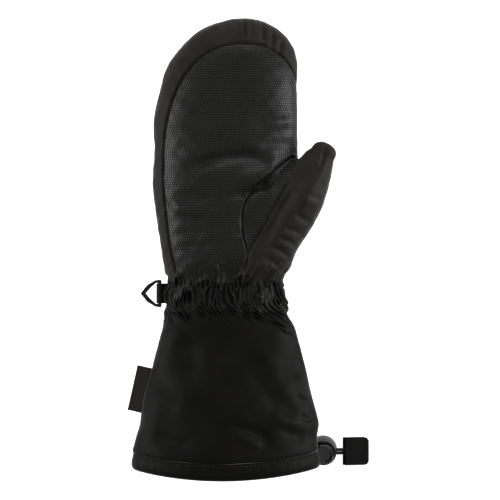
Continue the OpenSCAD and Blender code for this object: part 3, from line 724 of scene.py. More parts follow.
oval_turn = np.linspace(0, 2 * math.pi, 721)
wrist_oval = np.column_stack([
    WRIST_W / 2 * np.sign(np.cos(oval_turn)) * np.abs(np.cos(oval_turn)) ** (2 / HAND_POWER),
    WRIST_T / 2 * np.sign(np.sin(oval_turn)) * np.abs(np.sin(oval_turn)) ** (2 / HAND_POWER)])
oval_length = np.concatenate([[0], np.cumsum(np.linalg.norm(np.diff(wrist_oval, axis=0), axis=1))])
oval_bearing = np.unwrap(np.arctan2(wrist_oval[:, 1] / WRIST_T, wrist_oval[:, 0] / WRIST_W))


def round_share(x, z, half_w, half_t, mid):
    """How far round the wrist a point is, by length of cloth, from 0 to 1."""
    bearing = np.arctan2((z - mid) / half_t, x / half_w) % (2 * math.pi)
    return np.interp(bearing, oval_bearing, oval_length / oval_length[-1])


def gather_height(share, y):
    """How far the drawn-up cloth stands out of the wrist."""
    below_it = np.maximum(FAN_START - y, 0)
    swept = share + FAN * np.where(
        below_it < FAN_REACH, below_it ** 2, FAN_REACH * (2 * below_it - FAN_REACH))
    crest = np.exp(-(uneven(ridge_waves, swept, y) / (0.5 + 0.4 * smooth_step(y, -87, -76))) ** 2)
    size = 0.72 + 0.38 * uneven(strength_waves, swept, y)
    above = smooth_step(y, WRIST_Y + TAIL_UP + TAIL_UP_UNEVEN * uneven(upper_waves, share, y), WRIST_Y - 1)
    below = smooth_step(y, CUFF_Y - TAIL_DOWN - TAIL_DOWN_UNEVEN * uneven(lower_waves, swept, y), CUFF_Y + 2)
    height = RIDGE_HEIGHT * (size * crest - 0.35) * above * below
    for row in STITCH_ROWS:
        height = height * (1 - 0.3 * np.exp(-(y - row) ** 2)) - STITCH_NIP * np.exp(-((y - row) / 0.8) ** 2)
    return height


# %% [markdown]
# ## Creases, folds and puff
# Cloth over padding creases where the hand bends: across the palm below the fingers, round the ball
# of the thumb, and at the thumb's joint. Each crease is a line on the plan with a width and a height,
# negative for a valley. Between seams the padding swells, and the seams stay down.

# %% Creases and puff
# each: points of the line, half-width, height
PALM_FOLDS = [
    ([(-30, -4), (-25, 0), (-18, 4.3), (-7, 8.2), (4, 10), (17, 10.6), (27, 8.2), (36, 4.5)], 4.6, -4.1),
    ([(-24, -4), (-12, 1.5), (4, 4.6), (17, 5.2), (28, 2.6), (38, -1)], 7, -1.6),
    ([(-30, -10), (-18, -4), (-6, -1), (6, 0)], 5, 0.8),
    ([(4, -10.5), (18, -6), (28, -2.5), (40, 0)], 5.4, 2.8),
    ([(-8, -23), (8, -19.5), (17, -17), (26, -13.5), (33, -9.5), (40, -5)], 3.2, -3.4),
    ([(-43, -20), (-30, -20.5), (-18, -21.5), (0, -24)], 4.2, -1.5),
    ([(-42, -28), (-28, -29), (-10, -31)], 4, 1.0),
    ([(-38, -36), (-24, -37), (-8, -39)], 3, -1.0),
    ([(-40, -48), (-26, -47), (-13, -47.5)], 3.2, -0.9),
    ([(-36, -60), (-24, -57), (-10, -58)], 3.4, -0.8),
    ([(-44, 35), (-28, 34.5), (-8, 33.5)], 5.5, -1.0),
    ([(12, 31), (30, 33.5), (40, 35), (56, 38)], 5, -1.4),
    ([(20, 16), (40, 18.5), (58, 21)], 4.5, -0.9),
    ([(4, 92), (7, 70), (6, 48), (3, 30)], 10, -1.2),
]
# those of the thumb are measured along it and across it
THUMB_FOLDS = [([by_thumb(*place) for place in line], width, tall) for line, width, tall in (
    ([(92, -4), (60, -5), (35, -5), (0, -3)], 4.6, -3.0),
    ([(96, 3), (70, 6), (40, 8)], 3.8, 1.6),
    ([(66, 19), (63, 12), (61, 4)], 2.0, -1.2),
    ([(46, 19), (45, 12), (46, 3)], 2.2, -1.3),
    ([(34, 20), (34, 12), (31, 0)], 2.2, -1.2),
    ([(24, 20), (25, 12), (23, 0)], 2.0, -1.2),
    ([(14, 20), (16, 10), (14, -5)], 2.0, -1.2),
    ([(4, 19), (6, 8), (5, -4)], 1.9, -1.0),
    ([(103, -2), (96, 0), (88, 2), (78, 3)], 1.3, -1.4))]
TIP_FOLDS = [
    ([(14.2, 113), (14.2, 104), (14, 97)], 1.2, -2.0),
    ([(19, 112), (19.5, 103), (18, 96)], 1.6, -1.2),
    ([(27, 109), (28, 101), (26, 94)], 1.7, -1.9),
    ([(34, 104), (35, 97), (33, 90)], 1.8, -2.0),
    ([(41, 98), (41, 91), (39, 84)], 1.8, -1.7),
    ([(9, 112), (8.4, 104), (9, 98)], 1.9, -0.7),
    ([(-8, 108), (-7, 100), (-4, 94)], 2.4, -0.9),
]
BACK_FOLDS = [
    ([(-40, 12), (-10, 16), (20, 14), (40, 9)], 6, -1.0),
    ([(-38, -28), (-6, -24), (30, -28)], 7, -0.8),
    ([(-30, 55), (0, 60), (30, 54)], 8, -0.7),
    ([(-30, -62), (-10, -58), (16, -61)], 5, -0.7),
]


def space_waves(count, low, high):
    """Waves that run through space: how fast they turn along each axis, and where they start."""
    return [(rng.uniform(low, high, 3) * rng.choice([-1, 1], 3), rng.uniform(0, 6.28))
            for _ in range(count)]


BROAD_WAVES = space_waves(7, 0.07, 0.17)
FINE_WAVES = space_waves(9, 0.25, 0.6)

print(len(PALM_FOLDS), "folds on the palm,", len(THUMB_FOLDS), "on the thumb")

# %% [markdown]
# ## How folds and seams are measured
# A fold's height falls off with the distance from its line, like a rounded ridge, and fades out
# towards both of its ends. For the grooves, each point's distance from the nearest seam is looked up
# in a tree of the seams' own points.

# %% Fold and seam measures
def waves(points, table):
    """Gentle unevenness, between -1 and 1."""
    return sum(np.sin(points @ bend + start) for bend, start in table) / len(table) ** 0.5


def fold_height(x, y, folds):
    """The sum of soft creases and ridges, each fading out at its ends."""
    height = np.zeros_like(x)
    for knots, width, tall in folds:
        line = soft_line(knots, 6)
        nearest, along = np.full(x.shape, 1e9), np.zeros(x.shape)
        parts = len(line) - 1
        for k in range(parts):
            (ax, ay), (dx, dy) = line[k], line[k + 1] - line[k]
            t = np.clip(((x - ax) * dx + (y - ay) * dy) / (dx * dx + dy * dy), 0, 1)
            gap = np.hypot(x - ax - t * dx, y - ay - t * dy)
            along = np.where(gap < nearest, (k + t) / parts, along)
            nearest = np.minimum(nearest, gap)
        fade = smooth_step(np.minimum(along, 1 - along), 0, 0.3)
        height += tall * np.exp(-(nearest / width) ** 2) * fade
    return height


def boundary_of(faces):
    """The edges that only one triangle of a cloth uses, in their running direction."""
    sides = faces[:, [[0, 1], [1, 2], [2, 0]]].reshape(-1, 2)
    _, back, count = np.unique(np.sort(sides, axis=1), axis=0, return_inverse=True, return_counts=True)
    return sides[count[back.ravel()] == 1]


seam_ids = np.unique(np.concatenate([
    boundary_of(skin_faces[belongs == cloth]).ravel() for cloth in ("back", "patch", "thumb", "gusset")]))
seam_ids = seam_ids[skin_points[seam_ids, 1] > WRIST_Y + 0.3]
seam_tree = KDTree(len(seam_ids))
for number, place in enumerate(skin_points[seam_ids]):
    seam_tree.insert(place, number)
seam_tree.balance()
from_seam = np.array([seam_tree.find(place)[2] for place in skin_points])
print("seam points:", len(seam_ids))

# %% [markdown]
# ## Raising the cloth
# All heights are added up and the skin is moved out by them. The grooves of the seams come from being
# sewn through, the puff between them from the wadding. Folds are laid only where they belong: those of
# the palm on what faces up, those of the back on what faces the table. Towards the wrist the gathers
# take over. A doubled edge of cloth stands up as a thin ridge beside the gusset.

# %% Raising the cloth
GROOVE_DEPTH, GROOVE_W = 1.3, 1.0
SEAM_PUFF, PUFF_REACH = 1.1, 7.0
outward = -unit(slope_of(mitten_depth, skin_points))
px, py, pz = skin_points.T
facing_palm = smooth_step(outward[:, 2], 0.0, 0.5)
facing_back = smooth_step(-outward[:, 2], 0.0, 0.5)
on_thumb = smooth_step(thumb_depth(px, py, pz) - hand_depth(px, py, pz), -3, 3)
at_crotch = np.exp(-(np.hypot(px - gusset_crotch[0], py - gusset_crotch[1]) / 16) ** 2)
rise = SEAM_PUFF * (1 - np.exp(-(from_seam / PUFF_REACH) ** 2))
rise -= GROOVE_DEPTH * (1 - 0.7 * at_crotch) * np.exp(-(from_seam / GROOVE_W) ** 2)
rise += (0.45 - 0.2 * facing_palm) * waves(skin_points, BROAD_WAVES)
rise += 0.12 * waves(skin_points, FINE_WAVES)
rise += facing_palm * (1 - on_thumb) * fold_height(px, py, PALM_FOLDS)
rise += on_thumb * smooth_step(outward[:, 2], -0.6, 0.2) * fold_height(px, py, THUMB_FOLDS)
rise += smooth_step(py, 78, 90) * fold_height(px, py, TIP_FOLDS)
PIPING_IN, PIPING_W, PIPING_TALL = 1.6, 0.9, 0.6       # a ridge of turned-in cloth by the gusset
across_thumb = on_thumb_axes(px, py)[1]
rise += PIPING_TALL * smooth_step(-across_thumb, 13, 19) * np.exp(
    -((inside_of(GUSSET, px, py) + PIPING_IN) / PIPING_W) ** 2)
rise += facing_back * (1 - on_thumb) * fold_height(px, py, BACK_FOLDS)
wrist_share = round_share(px, pz, hand_half(py), WRIST_T / 2, MID_Z)
at_wrist = smooth_step(py, -70, WRIST_Y)
rise = rise * (1 - at_wrist) + gather_height(wrist_share, py) * smooth_step(py, -62, -74)
raised = above_table(skin_points + outward * rise[:, None])
print("cloth rises from", round(rise.min(), 2), "to", round(rise.max(), 2), "mm")

# %% [markdown]
# Each cloth gets a short turned-in edge, as a seam allowance has, so that no seam shows a paper-thin rim,
# and then it becomes a piece of its own. The shell, its wadding and its film move as one padded layer.

# %% The four cloths of the hand
ALLOWANCE = 2.2


def cloth_piece(name, faces, points, normals, finish, stands_for):
    """One cloth, cut out of the skin, with its edges turned in."""
    ids, local = np.unique(faces, return_inverse=True)
    local = local.reshape(faces.shape)
    edges = boundary_of(local)
    edges = edges[(points[ids[edges], 1] > WRIST_Y + 0.2).any(axis=1)]      # the wrist carries on below
    rim = np.unique(edges)
    turned = {int(v): len(ids) + n for n, v in enumerate(rim)}
    tucked = above_table(points[ids[rim]] - normals[ids[rim]] * ALLOWANCE, 0.3)
    skirt = [(int(b), int(a), turned[int(a)], turned[int(b)]) for a, b in edges]
    return make_piece(name, np.vstack([points[ids], tucked]), local.tolist() + skirt, finish,
                      stands_for=[stands_for])


for cloth, name, finish in (
        ("back", "back_shell", "shell_fabric"), ("patch", "palm_patch", "grip_palm"),
        ("thumb", "thumb_shell", "shell_fabric"), ("gusset", "thumb_gusset", "grip_palm")):
    piece = cloth_piece(name + "_cloth", skin_faces[belongs == cloth], raised, outward, finish, name)

# %% [markdown]
# ## The grip's raised dots
# The grip cloth is embossed with small square dots, 1.8 mm apart. Rows and columns are laid out by
# length of cloth, not on the plan, so they crowd towards the sides as on the real, curved palm.
# Each dot is a tiny frustum standing on the cloth where a ray from above meets it.

# %% Grip dots
DOT_PITCH = 1.8
DOT_BASE, DOT_TOP, DOT_TALL = 0.64, 0.46, 0.4
DOT_MARGIN = 2.3                # bare cloth along the seams
DOT_END, DOT_FRAY = -72, 3.5    # the pleats below swallow the dots, unevenly

grip_faces = skin_faces[(belongs == "patch") | (belongs == "gusset")]
grip_surface = BVHTree.FromPolygons([tuple(p) for p in raised], [tuple(map(int, f)) for f in grip_faces])


def above_cloth(x, y):
    """Where a ray from above meets the grip cloth, and the cloth's direction there."""
    return grip_surface.ray_cast(Vector((x, y, 90)), Vector((0, 0, -1)))[:2]


def even_steps(values, heights, pitch):
    """Values spaced a pitch apart by length along a profile."""
    length = np.concatenate([[0], np.cumsum(np.hypot(np.diff(values), np.diff(heights)))])
    return np.interp(np.arange(pitch / 2, length[-1], pitch), length, values)


spine = [(y, above_cloth(2, y)[0]) for y in np.arange(DOT_END, 95, 1.0)]
spine = [(y, place.z) for y, place in spine if place]
dot_points, dot_faces = [], []
for y in even_steps(*np.array(spine).T, DOT_PITCH):
    row = [(x, above_cloth(x, y)[0]) for x in np.arange(-52, 56, 1.0)]
    row = np.array([(x, place.z) for x, place in row if place])
    if len(row) < 3:
        continue
    for x in even_steps(row[:, 0], row[:, 1], DOT_PITCH):
        place, direction = above_cloth(x, y)
        if not place or seam_tree.find(place)[2] < DOT_MARGIN or direction.z < 0.05:
            continue
        if y < DOT_END + DOT_FRAY * (1 + math.sin(x / 4.7) * math.cos(x / 11)):
            continue
        along = direction.cross(Vector((0, 1, 0))).cross(direction).normalized()
        aside = direction.cross(along)
        first = len(dot_points)
        for half, lift in ((DOT_BASE, -0.1), (DOT_TOP, DOT_TALL)):
            for a, b in ((-1, -1), (1, -1), (1, 1), (-1, 1)):
                dot_points.append(place - aside * (a * half) + along * (b * half) + direction * lift)
        for k in range(4):
            dot_faces.append((first + k, first + (k + 1) % 4, first + 4 + (k + 1) % 4, first + 4 + k))
        dot_faces.append(tuple(first + 4 + k for k in range(4)))
grip_dots = make_piece("grip_dots", dot_points, dot_faces, "grip_dots", slot="grip_palm")
grip_dots.data.shade_flat()
print(len(dot_faces) // 5, "dots")

# %% [markdown]
# ## Cloth laid on a grid
# The wrist, the cuff and the small flat goods are laid as grids: rows along the mitten, columns round
# it. A grid keeps its yarn directions, so folds and pleats can be raised by a height at each point.

# %% Grid helpers
def grid_normals(grid, closed=False):
    """Unit normals of a grid of points, from its neighbours."""
    down = np.gradient(grid, axis=0)
    if closed:
        over = np.roll(grid, -1, axis=1) - np.roll(grid, 1, axis=1)
    else:
        over = np.gradient(grid, axis=1)
    return unit(np.cross(over, down))


def lay_grid(name, grid, finish, closed=False, **facts):
    rows, columns = grid.shape[:2]
    return make_piece(name, grid.reshape(-1, 3), grid_faces(rows, columns, closed), finish, **facts)


def squared(turn, power):
    """The unit squarish oval at a turn, as (across, up)."""
    c, s = np.cos(turn), np.sin(turn)
    return np.sign(c) * np.abs(c) ** (2 / power), np.sign(s) * np.abs(s) ** (2 / power)


# %% [markdown]
# ## The gathered wrist
# The wrist is the stretch between the hand's cloth and the cuff, where the elastic sits. It takes the
# whole gather height, with columns fine enough for the narrow ridges.

# %% Wrist
WRIST_COLUMNS, WRIST_ROWS = 720, 48
CUFF_TOP_W = 91


def wrist_surface(share, y, out=0.0):
    """A point of the wrist, by its share of the way round and its place along."""
    turn = np.interp(share % 1, oval_length / oval_length[-1], oval_turn)
    across, up = squared(turn, HAND_POWER)
    half = (WRIST_W + (CUFF_TOP_W - WRIST_W) * np.clip((WRIST_Y - y) / 22, 0, 1)) / 2
    lean_x = np.sign(across) * np.abs(across) ** (HAND_POWER - 1) / half
    lean_z = np.sign(up) * np.abs(up) ** (HAND_POWER - 1) / (WRIST_T / 2)
    size = np.hypot(lean_x, lean_z)
    out = out + gather_height(share, y)
    return np.stack([half * across + out * lean_x / size, y + 0 * share,
                     np.maximum(MID_Z + WRIST_T / 2 * up + out * lean_z / size, 0.05)], -1)


TUCK = 1.2                      # the wrist runs on this far under its neighbours
share, along = np.meshgrid(np.linspace(0, 1, WRIST_COLUMNS, endpoint=False),
                           np.linspace(WRIST_Y + TUCK, CUFF_Y - TUCK, WRIST_ROWS))
half_long = (WRIST_Y - CUFF_Y) / 2
under = smooth_step(np.abs(along - (WRIST_Y + CUFF_Y) / 2), half_long - 0.1, half_long + 0.8)
wrist_grid = wrist_surface(share, along, -0.5 * under)
wrist = lay_grid("wrist_gather_cloth", wrist_grid[:, ::-1], "gathered_fabric", True,
                 stands_for=["wrist_gather"])

# %% [markdown]
# ## The gauntlet cuff
# The cuff flares from the wrist to the hem, and its section is a lens that comes to an edge at each
# side seam. Its palm panel and back panel are two grids that meet at those seams. The hem's edge is a
# shallow bow. The padding is thin, so the cloth falls in broad slanting folds from the gathers.

# %% Cuff sizes
CUFF_LEN, CUFF_W, CUFF_T = 125, 143, 60
FLARE_POWER = 1.4               # it opens faster at its top
HEM_BOW, HEM_H = 8, 13
HEM_TILT, TILT_ABOUT = 0.01, 20
HEM_Y = CUFF_Y - CUFF_LEN
CUFF_END_Z = CUFF_T / 2 - REST_SINK
SEAM_Z = 23.5
THUMB_SIDE_BULGE, OUTER_SIDE_SLACK = 3.1, 1.2   # the wadding hangs to the thumb's side
BULGE_FROM, BULGE_TO = (106, 120), (188, 201)   # it swells and shrinks, measured down the mitten
CUFF_SHARPER, SHARPER_BY = 0.6, 30      # the cuff's section grows more pointed than the wrist's
BOW_R = ((CUFF_W / 2) ** 2 + HEM_BOW ** 2) / (2 * HEM_BOW)


def flare(y):
    """How far the cuff has opened, from 0 at the gathers to 1 at the hem."""
    t = np.clip((CUFF_Y - y) / CUFF_LEN, 0, 1)
    return 1 - (1 - t) ** FLARE_POWER


def cuff_half(y):
    return (CUFF_TOP_W + (CUFF_W - CUFF_TOP_W) * flare(y)) / 2


def cuff_thick(y):
    return (WRIST_T + (CUFF_T - WRIST_T) * flare(y)) / 2


def cuff_mid(y):
    return MID_Z + (CUFF_END_Z - MID_Z) * flare(y)


def hem_edge(x):
    """The hem's bowed edge, which hangs a little lower on the outer side."""
    return HEM_Y + BOW_R - np.sqrt(BOW_R ** 2 - np.minimum(np.abs(x), 72) ** 2) + HEM_TILT * (x - TILT_ABOUT)


def cuff_at(turn, y, inset=0.0):
    """A point on the cuff, inset mm below its outer surface."""
    power = HAND_POWER - CUFF_SHARPER * smooth_step(-y, -CUFF_Y, -CUFF_Y + SHARPER_BY)
    across, up = squared(turn, power)
    z = cuff_mid(y) + (cuff_thick(y) - inset) * up
    softened = inset + np.logaddexp(0, (z - inset) / 0.8) * 0.8
    bulge = smooth_step(-y, *BULGE_FROM) * (1 - smooth_step(-y, *BULGE_TO))
    aside = bulge * np.where(across > 0, THUMB_SIDE_BULGE, OUTER_SIDE_SLACK) * np.abs(across)
    return np.stack([(cuff_half(y) - inset) * across + aside, y + 0 * turn, softened], -1)


def seam_turn(y, side):
    """Where round the cuff its side seam runs."""
    drop = (SEAM_Z - cuff_mid(y)) / cuff_thick(y)
    turn = np.arcsin(np.sign(drop) * np.abs(drop) ** 0.9)
    return turn if side > 0 else math.pi - turn


def cuff_grid(part, rows, columns, inset=0.0):
    """Points of one panel, or of the whole cuff, from the wrist to the hem band."""
    down, over = np.meshgrid(np.linspace(0, 1, rows), np.linspace(0, 1, columns), indexing="ij")
    down = down ** 1.5              # rows lie closer at the gathers
    y = CUFF_Y - down * (CUFF_LEN - HEM_H)
    over = over + 0.11 * np.sin(2 * math.pi * over) / (2 * math.pi)
    for _ in range(3):
        right, left = seam_turn(y, 1), seam_turn(y, -1)
        if part == "back":
            right, left = left, right + 2 * math.pi
        turn = right + (left - right) * over
        if part == "whole":
            turn = 2 * math.pi * over
        grid = cuff_at(turn, y, inset)
        y = CUFF_Y - down * (CUFF_Y - HEM_H - hem_edge(grid[..., 0]))
    return grid


print("cuff: from", CUFF_TOP_W, "to", CUFF_W, "mm wide, hem", HEM_H, "mm high")

# %% [markdown]
# ## Folds of the cuff
# The cuff is one layer of thin satin over a thin pad, so it hangs in broad, soft folds. On the palm
# side they run down from the gathers and bend round above the hem, with a few small, tight ones at the
# thumb's side. The back, which lies on the table, has calmer ones.

# %% Cuff folds
CUFF_PALM_FOLDS = [
    ([(14, -116), (17, -134), (24, -156), (30, -176)], 9, -1.6),
    ([(36, -112), (40, -128), (46, -146)], 9, 1.4),
    ([(30, -146), (40, -158), (50, -170)], 8, 1.2),
    ([(28, -164), (40, -176), (56, -184)], 6, -1.2),
    ([(34, -178), (44, -186), (58, -192)], 5.5, 1.2),
    ([(40, -190), (50, -197), (60, -200)], 4.5, -1.2),
    ([(-2, -191), (12, -192), (26, -198), (36, -207)], 4.2, -1.8),
    ([(4, -198), (18, -201), (28, -207)], 4.0, 1.2),
    ([(-36, -112), (-42, -132), (-50, -156)], 9, 1.2),
    ([(-24, -118), (-24, -140), (-26, -165)], 9, -0.9),
    ([(-46, -160), (-52, -180), (-58, -205)], 7, 0.9),
    ([(-58, -196), (-40, -202), (-22, -204)], 5, -0.9),
    ([(-40, -176), (-26, -182), (-12, -184)], 7, 0.7),
    ([(2, -126), (3, -150), (4, -182)], 12, -1.2),
    ([(54, -150), (57, -164), (62, -178)], 3.5, 0.9),
    ([(52, -168), (57, -172), (63, -174)], 2.6, -0.9),
    ([(55, -182), (60, -186), (66, -187)], 2.6, -0.9),
]
CUFF_BACK_FOLDS = [
    ([(-30, -112), (-36, -140), (-44, -175)], 6, 1.2),
    ([(-8, -110), (-12, -136), (-18, -170)], 8, 0.9),
    ([(16, -110), (20, -140), (30, -180)], 7, 1.1),
    ([(34, -112), (40, -134), (50, -165)], 5, 1.1),
    ([(0, -150), (4, -180), (2, -205)], 10, -0.8),
]
print(len(CUFF_PALM_FOLDS), "folds on the palm's side,", len(CUFF_BACK_FOLDS), "on the back")

# %% [markdown]
# ## Panels of the cuff
# Each panel is raised by the tails of the gathers, its folds and a gentle unevenness, and pulled down
# beside its side seams and above the hem. Then its free edges are turned in, as a seam allowance is.

# %% Cuff panels
SIDE_GROOVE, SIDE_GROOVE_W = 1.3, 1.6
HEM_GROOVE, HEM_GROOVE_W = 0.5, 1.2
CUFF_ROWS, CUFF_COLUMNS = 130, 280


def raise_cuff(grid, folds):
    """The panel's points, raised by its folds, the gathers' tails and its seams."""
    x, y, z = np.moveaxis(grid, -1, 0)
    normal = grid_normals(grid)
    share = round_share(x, z, cuff_half(y), cuff_thick(y), cuff_mid(y))
    height = gather_height(share, y) * smooth_step(y, CUFF_Y - 30, CUFF_Y - 4)
    height += fold_height(x, y, folds) * smooth_step(-y, -CUFF_Y, -CUFF_Y + 14)
    height += 0.55 * waves(grid, BROAD_WAVES) * smooth_step(-y, -CUFF_Y, -CUFF_Y + 30)
    width = np.linalg.norm(np.diff(grid, axis=1), axis=2).cumsum(axis=1)
    width = np.hstack([np.zeros((len(grid), 1)), width])
    to_side = np.minimum(width, width[:, -1:] - width)
    height -= SIDE_GROOVE * np.exp(-(to_side / SIDE_GROOVE_W) ** 2)
    to_hem = y - HEM_H - hem_edge(x)
    height -= HEM_GROOVE * np.exp(-(to_hem / HEM_GROOVE_W) ** 2)
    return above_table(grid + normal * height[..., None]), normal


def with_turned_edges(grid, normal, depth=2.2):
    """A grid with one more row of points at its sides and its end, turned in below its edges."""
    grid = np.pad(grid, ((0, 1), (1, 1), (0, 0)), mode="edge")
    normal = np.pad(normal, ((0, 1), (1, 1), (0, 0)), mode="edge")
    rim = np.ones(grid.shape[:2], bool)
    rim[:-1, 1:-1] = False
    grid[rim] -= normal[rim] * depth
    return above_table(grid)


for part, folds in (("palm", CUFF_PALM_FOLDS), ("back", CUFF_BACK_FOLDS)):
    laid, normal = raise_cuff(cuff_grid(part, CUFF_ROWS, CUFF_COLUMNS), folds)
    panel = lay_grid(f"cuff_{part}_panel_cloth", with_turned_edges(laid, normal), "cuff_fabric",
                     stands_for=[f"cuff_{part}_panel"])
print("normals point out:", bool(normal[40, 130, 2] < 0))

# %% [markdown]
# ## The hem
# The hem is a folded tunnel for the drawcord: the cuff's cloth turns under, round the edge and up
# inside, and a row of stitches closes the tunnel. A profile of (rise above the edge, depth) is swept
# all round the cuff, and it bulges a little below the stitches.

# %% Hem
HEM_COLUMNS = 420
HEM_STITCH = 10.8               # the row of stitches above the hem's edge
hem_profile = soft_line([
    (12.95, 1.8), (12.85, 0.5), (12.4, 0.25), (11.6, 0.15), (10.8, 0.35), (10.0, 0.1), (9.0, 0.0),
    (7.6, -0.1), (5.8, -0.15), (4.2, -0.1), (3.0, 0.1), (1.9, 0.5), (1.0, 1.15), (0.35, 2.0),
    (0.05, 2.9), (0.35, 3.9), (1.1, 4.8), (2.4, 5.4), (4.5, 5.8), (7.5, 5.9), (10, 5.6), (12.8, 5.3)], 3)
hem_turn = np.linspace(0, 2 * math.pi, HEM_COLUMNS, endpoint=False)
hem_pucker = 0.05 * np.sin(hem_turn * 61 + 2 * np.sin(hem_turn * 7)) + 0.07 * np.sin(hem_turn * 37 + 1)


def hem_ring(rise, depth):
    """One line of the hem, all the way round."""
    x = cuff_at(hem_turn, HEM_Y + rise + 0 * hem_turn)[:, 0]
    for _ in range(3):
        ring = cuff_at(hem_turn, hem_edge(x) + rise, depth + hem_pucker * smooth_step(rise, 13, 9))
        x = ring[:, 0]
    return ring


hem_grid = above_table(np.array([hem_ring(rise, depth) for rise, depth in hem_profile]))
hem = lay_grid("hem_band_cloth", hem_grid, "cuff_fabric", True, stands_for=["hem_band"])

# %% [markdown]
# ## Linings
# The cuff is lined with a thin taffeta, and the hand with a fleece bag that has its own thumb. They
# are seen only through the mouth of the cuff. The fleece bag is meshed from the same depths as the
# shell, further in.

# %% Linings
CUFF_LINING_IN, FLEECE_IN, FLEECE_END = 5.2, 8.4, -107.5
grid = cuff_grid("whole", 40, 180, CUFF_LINING_IN)
crinkle = 0.35 * waves(grid, FINE_WAVES) + 0.4 * waves(grid, BROAD_WAVES)
lining_grid = (grid - grid_normals(grid) * np.abs(crinkle)[..., None])[:, :-1]
lay_grid("cuff_lining_cloth", lining_grid, "cuff_lining_taffeta", True, stands_for=["cuff_lining"])


def inner_bag(depth, inset, low, high, step, end, kind, cloth, finish):
    """A bag inside the shell, cut off at its end and split into a hand and a thumb."""
    points, faces = skin_of(depth, low, high, step)
    points, faces = cut_along(points, faces, points[:, 1] - end)
    middles = points[faces].mean(1)
    in_thumb = hand_depth(*middles.T, inset) < thumb_depth(*middles.T, inset)
    made = []
    for part, chosen in (("hand", ~in_thumb), ("thumb", in_thumb)):
        ids, local = np.unique(faces[chosen & (middles[:, 1] > end)], return_inverse=True)
        made.append(make_piece(f"{part}_{kind}_{cloth}", points[ids], local.reshape(-1, 3).tolist(),
                               finish, stands_for=[f"{part}_{kind}"]))
    return made


def bag_depth(x, y, z, inset=FLEECE_IN):
    return blend_depths(hand_depth(x, y, z, inset), thumb_depth(x, y, z, inset), 3)


inner_bag(bag_depth, FLEECE_IN, (-50, FLEECE_END - 3, 3), (78, 106, 46), 2.2, FLEECE_END,
          "lining", "fleece", "lining_fleece")

# %% [markdown]
# ## Wadding
# Under the shell lies white wadding. It stays well below the grooves of the seams, as wadding does
# that is caught and pressed flat where the cloth is sewn through.

# %% Wadding
WADDING_IN, CUFF_WADDING_IN = 5.9, 3.8


def wadding_depth(x, y, z):
    return -blend_depths(-bag_depth(x, y, z, WADDING_IN), 3 - z, 1)


for wad in inner_bag(wadding_depth, WADDING_IN, (-52, WRIST_Y - 4, 0), (82, 110, 50), 2.4, WRIST_Y + 1,
                     "insulation", "wadding", "insulation"):
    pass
grid = cuff_grid("whole", 30, 140, CUFF_WADDING_IN)
wad = lay_grid("cuff_padding_wadding", grid[:, :-1], "insulation", True, stands_for=["cuff_padding"])

# %% [markdown]
# ## Rows of stitches
# A lockstitch shows as a row of short threads, each dipping into the cloth at both ends. A stitch is a
# tiny tube bent like that, and a row lays one after the other along a line on the cloth.

# %% Stitch helper
STITCH_R, SMALL_R = 0.28, 0.2
THREAD_BEND = np.array([-0.35, 0.16, 0.3, 0.16, -0.35])[:, None]


def stitch_row(name, line, normals, pitch, share=0.72, body="mitten", radius=STITCH_R, closed=False):
    """A piece with one bent thread every pitch mm along a line on cloth."""
    normals = np.broadcast_to(normals, line.shape)
    if closed:
        line, normals = np.vstack([line, line[:1]]), np.vstack([normals, normals[:1]])
    length = running_length(line)
    count = int(length[-1] / pitch)
    points, faces = [], []
    for n in range(count):
        s = (n + 0.5) * length[-1] / count + pitch * share * np.linspace(-0.5, 0.5, 5)
        up = unit(read_off(normals, s, length))
        at = read_off(line, s, length) + up * THREAD_BEND
        ahead = headings(at)
        aside = unit(np.cross(ahead, up))
        first = len(points)
        for k in range(5):
            for turn in np.arange(6) * math.pi / 3:
                points.append(at[k] + radius * (aside[k] * math.cos(turn) + up[k] * math.sin(turn)))
        faces += [tuple(first + corner for corner in face) for face in grid_faces(5, 6, True)]
        faces += [tuple(first + k for k in range(6))[::-1], tuple(first + 24 + k for k in range(6))]
    return make_piece(name, points, faces, "thread", body, slot="shell_fabric")


for number, row in enumerate(STITCH_ROWS):
    share = np.linspace(0, 1, 1400, endpoint=False)
    line = wrist_surface(share, np.full_like(share, row), 0.05)
    centre = np.array([0, row, MID_Z])
    outwards = unit((line - centre) * (1 / WRIST_W, 0, 1 / WRIST_T))
    stitch_row(f"elastic_stitches_{number + 1}", line, outwards, 2.6, closed=True)
hem_line = hem_ring(HEM_STITCH, 0.3)
outwards = unit(np.column_stack([hem_line[:, 0] / CUFF_W, 0 * hem_line[:, 0],
                                 (hem_line[:, 2] - CUFF_END_Z) / CUFF_T]))
stitch_row("hem_stitches", hem_line, outwards, 3.0, closed=True)

# %% [markdown]
# ## The side label
# A folded woven label, left bare, is caught in the cuff's seam on the little-finger side. It is one
# band folded over at its outer edge, so the two leaves meet in a rounded fold, and it curls slightly.

# %% Label
LABEL_LEN, LABEL_OUT, LABEL_HELD = 34.5, 9.5, 3
LEAF = 0.36                     # half the gap between the leaves
LABEL_NEAR = CUFF_Y - 42
UP = (0, 0, 1.0)


def turned_by(angle, a, b):
    """Two coordinates, turned by an angle."""
    return math.cos(angle) * a - math.sin(angle) * b, math.sin(angle) * a + math.cos(angle) * b


def folded_over(out, height, centre, radius, turns):
    """A band seen from its edge: along out, round a bend, and back on the other side."""
    there = np.column_stack([out, height + 0 * out])
    bend = np.column_stack([centre + radius * np.cos(turns), radius * np.sin(turns)])
    return np.vstack([there, bend, there[::-1] * (1, -1)])


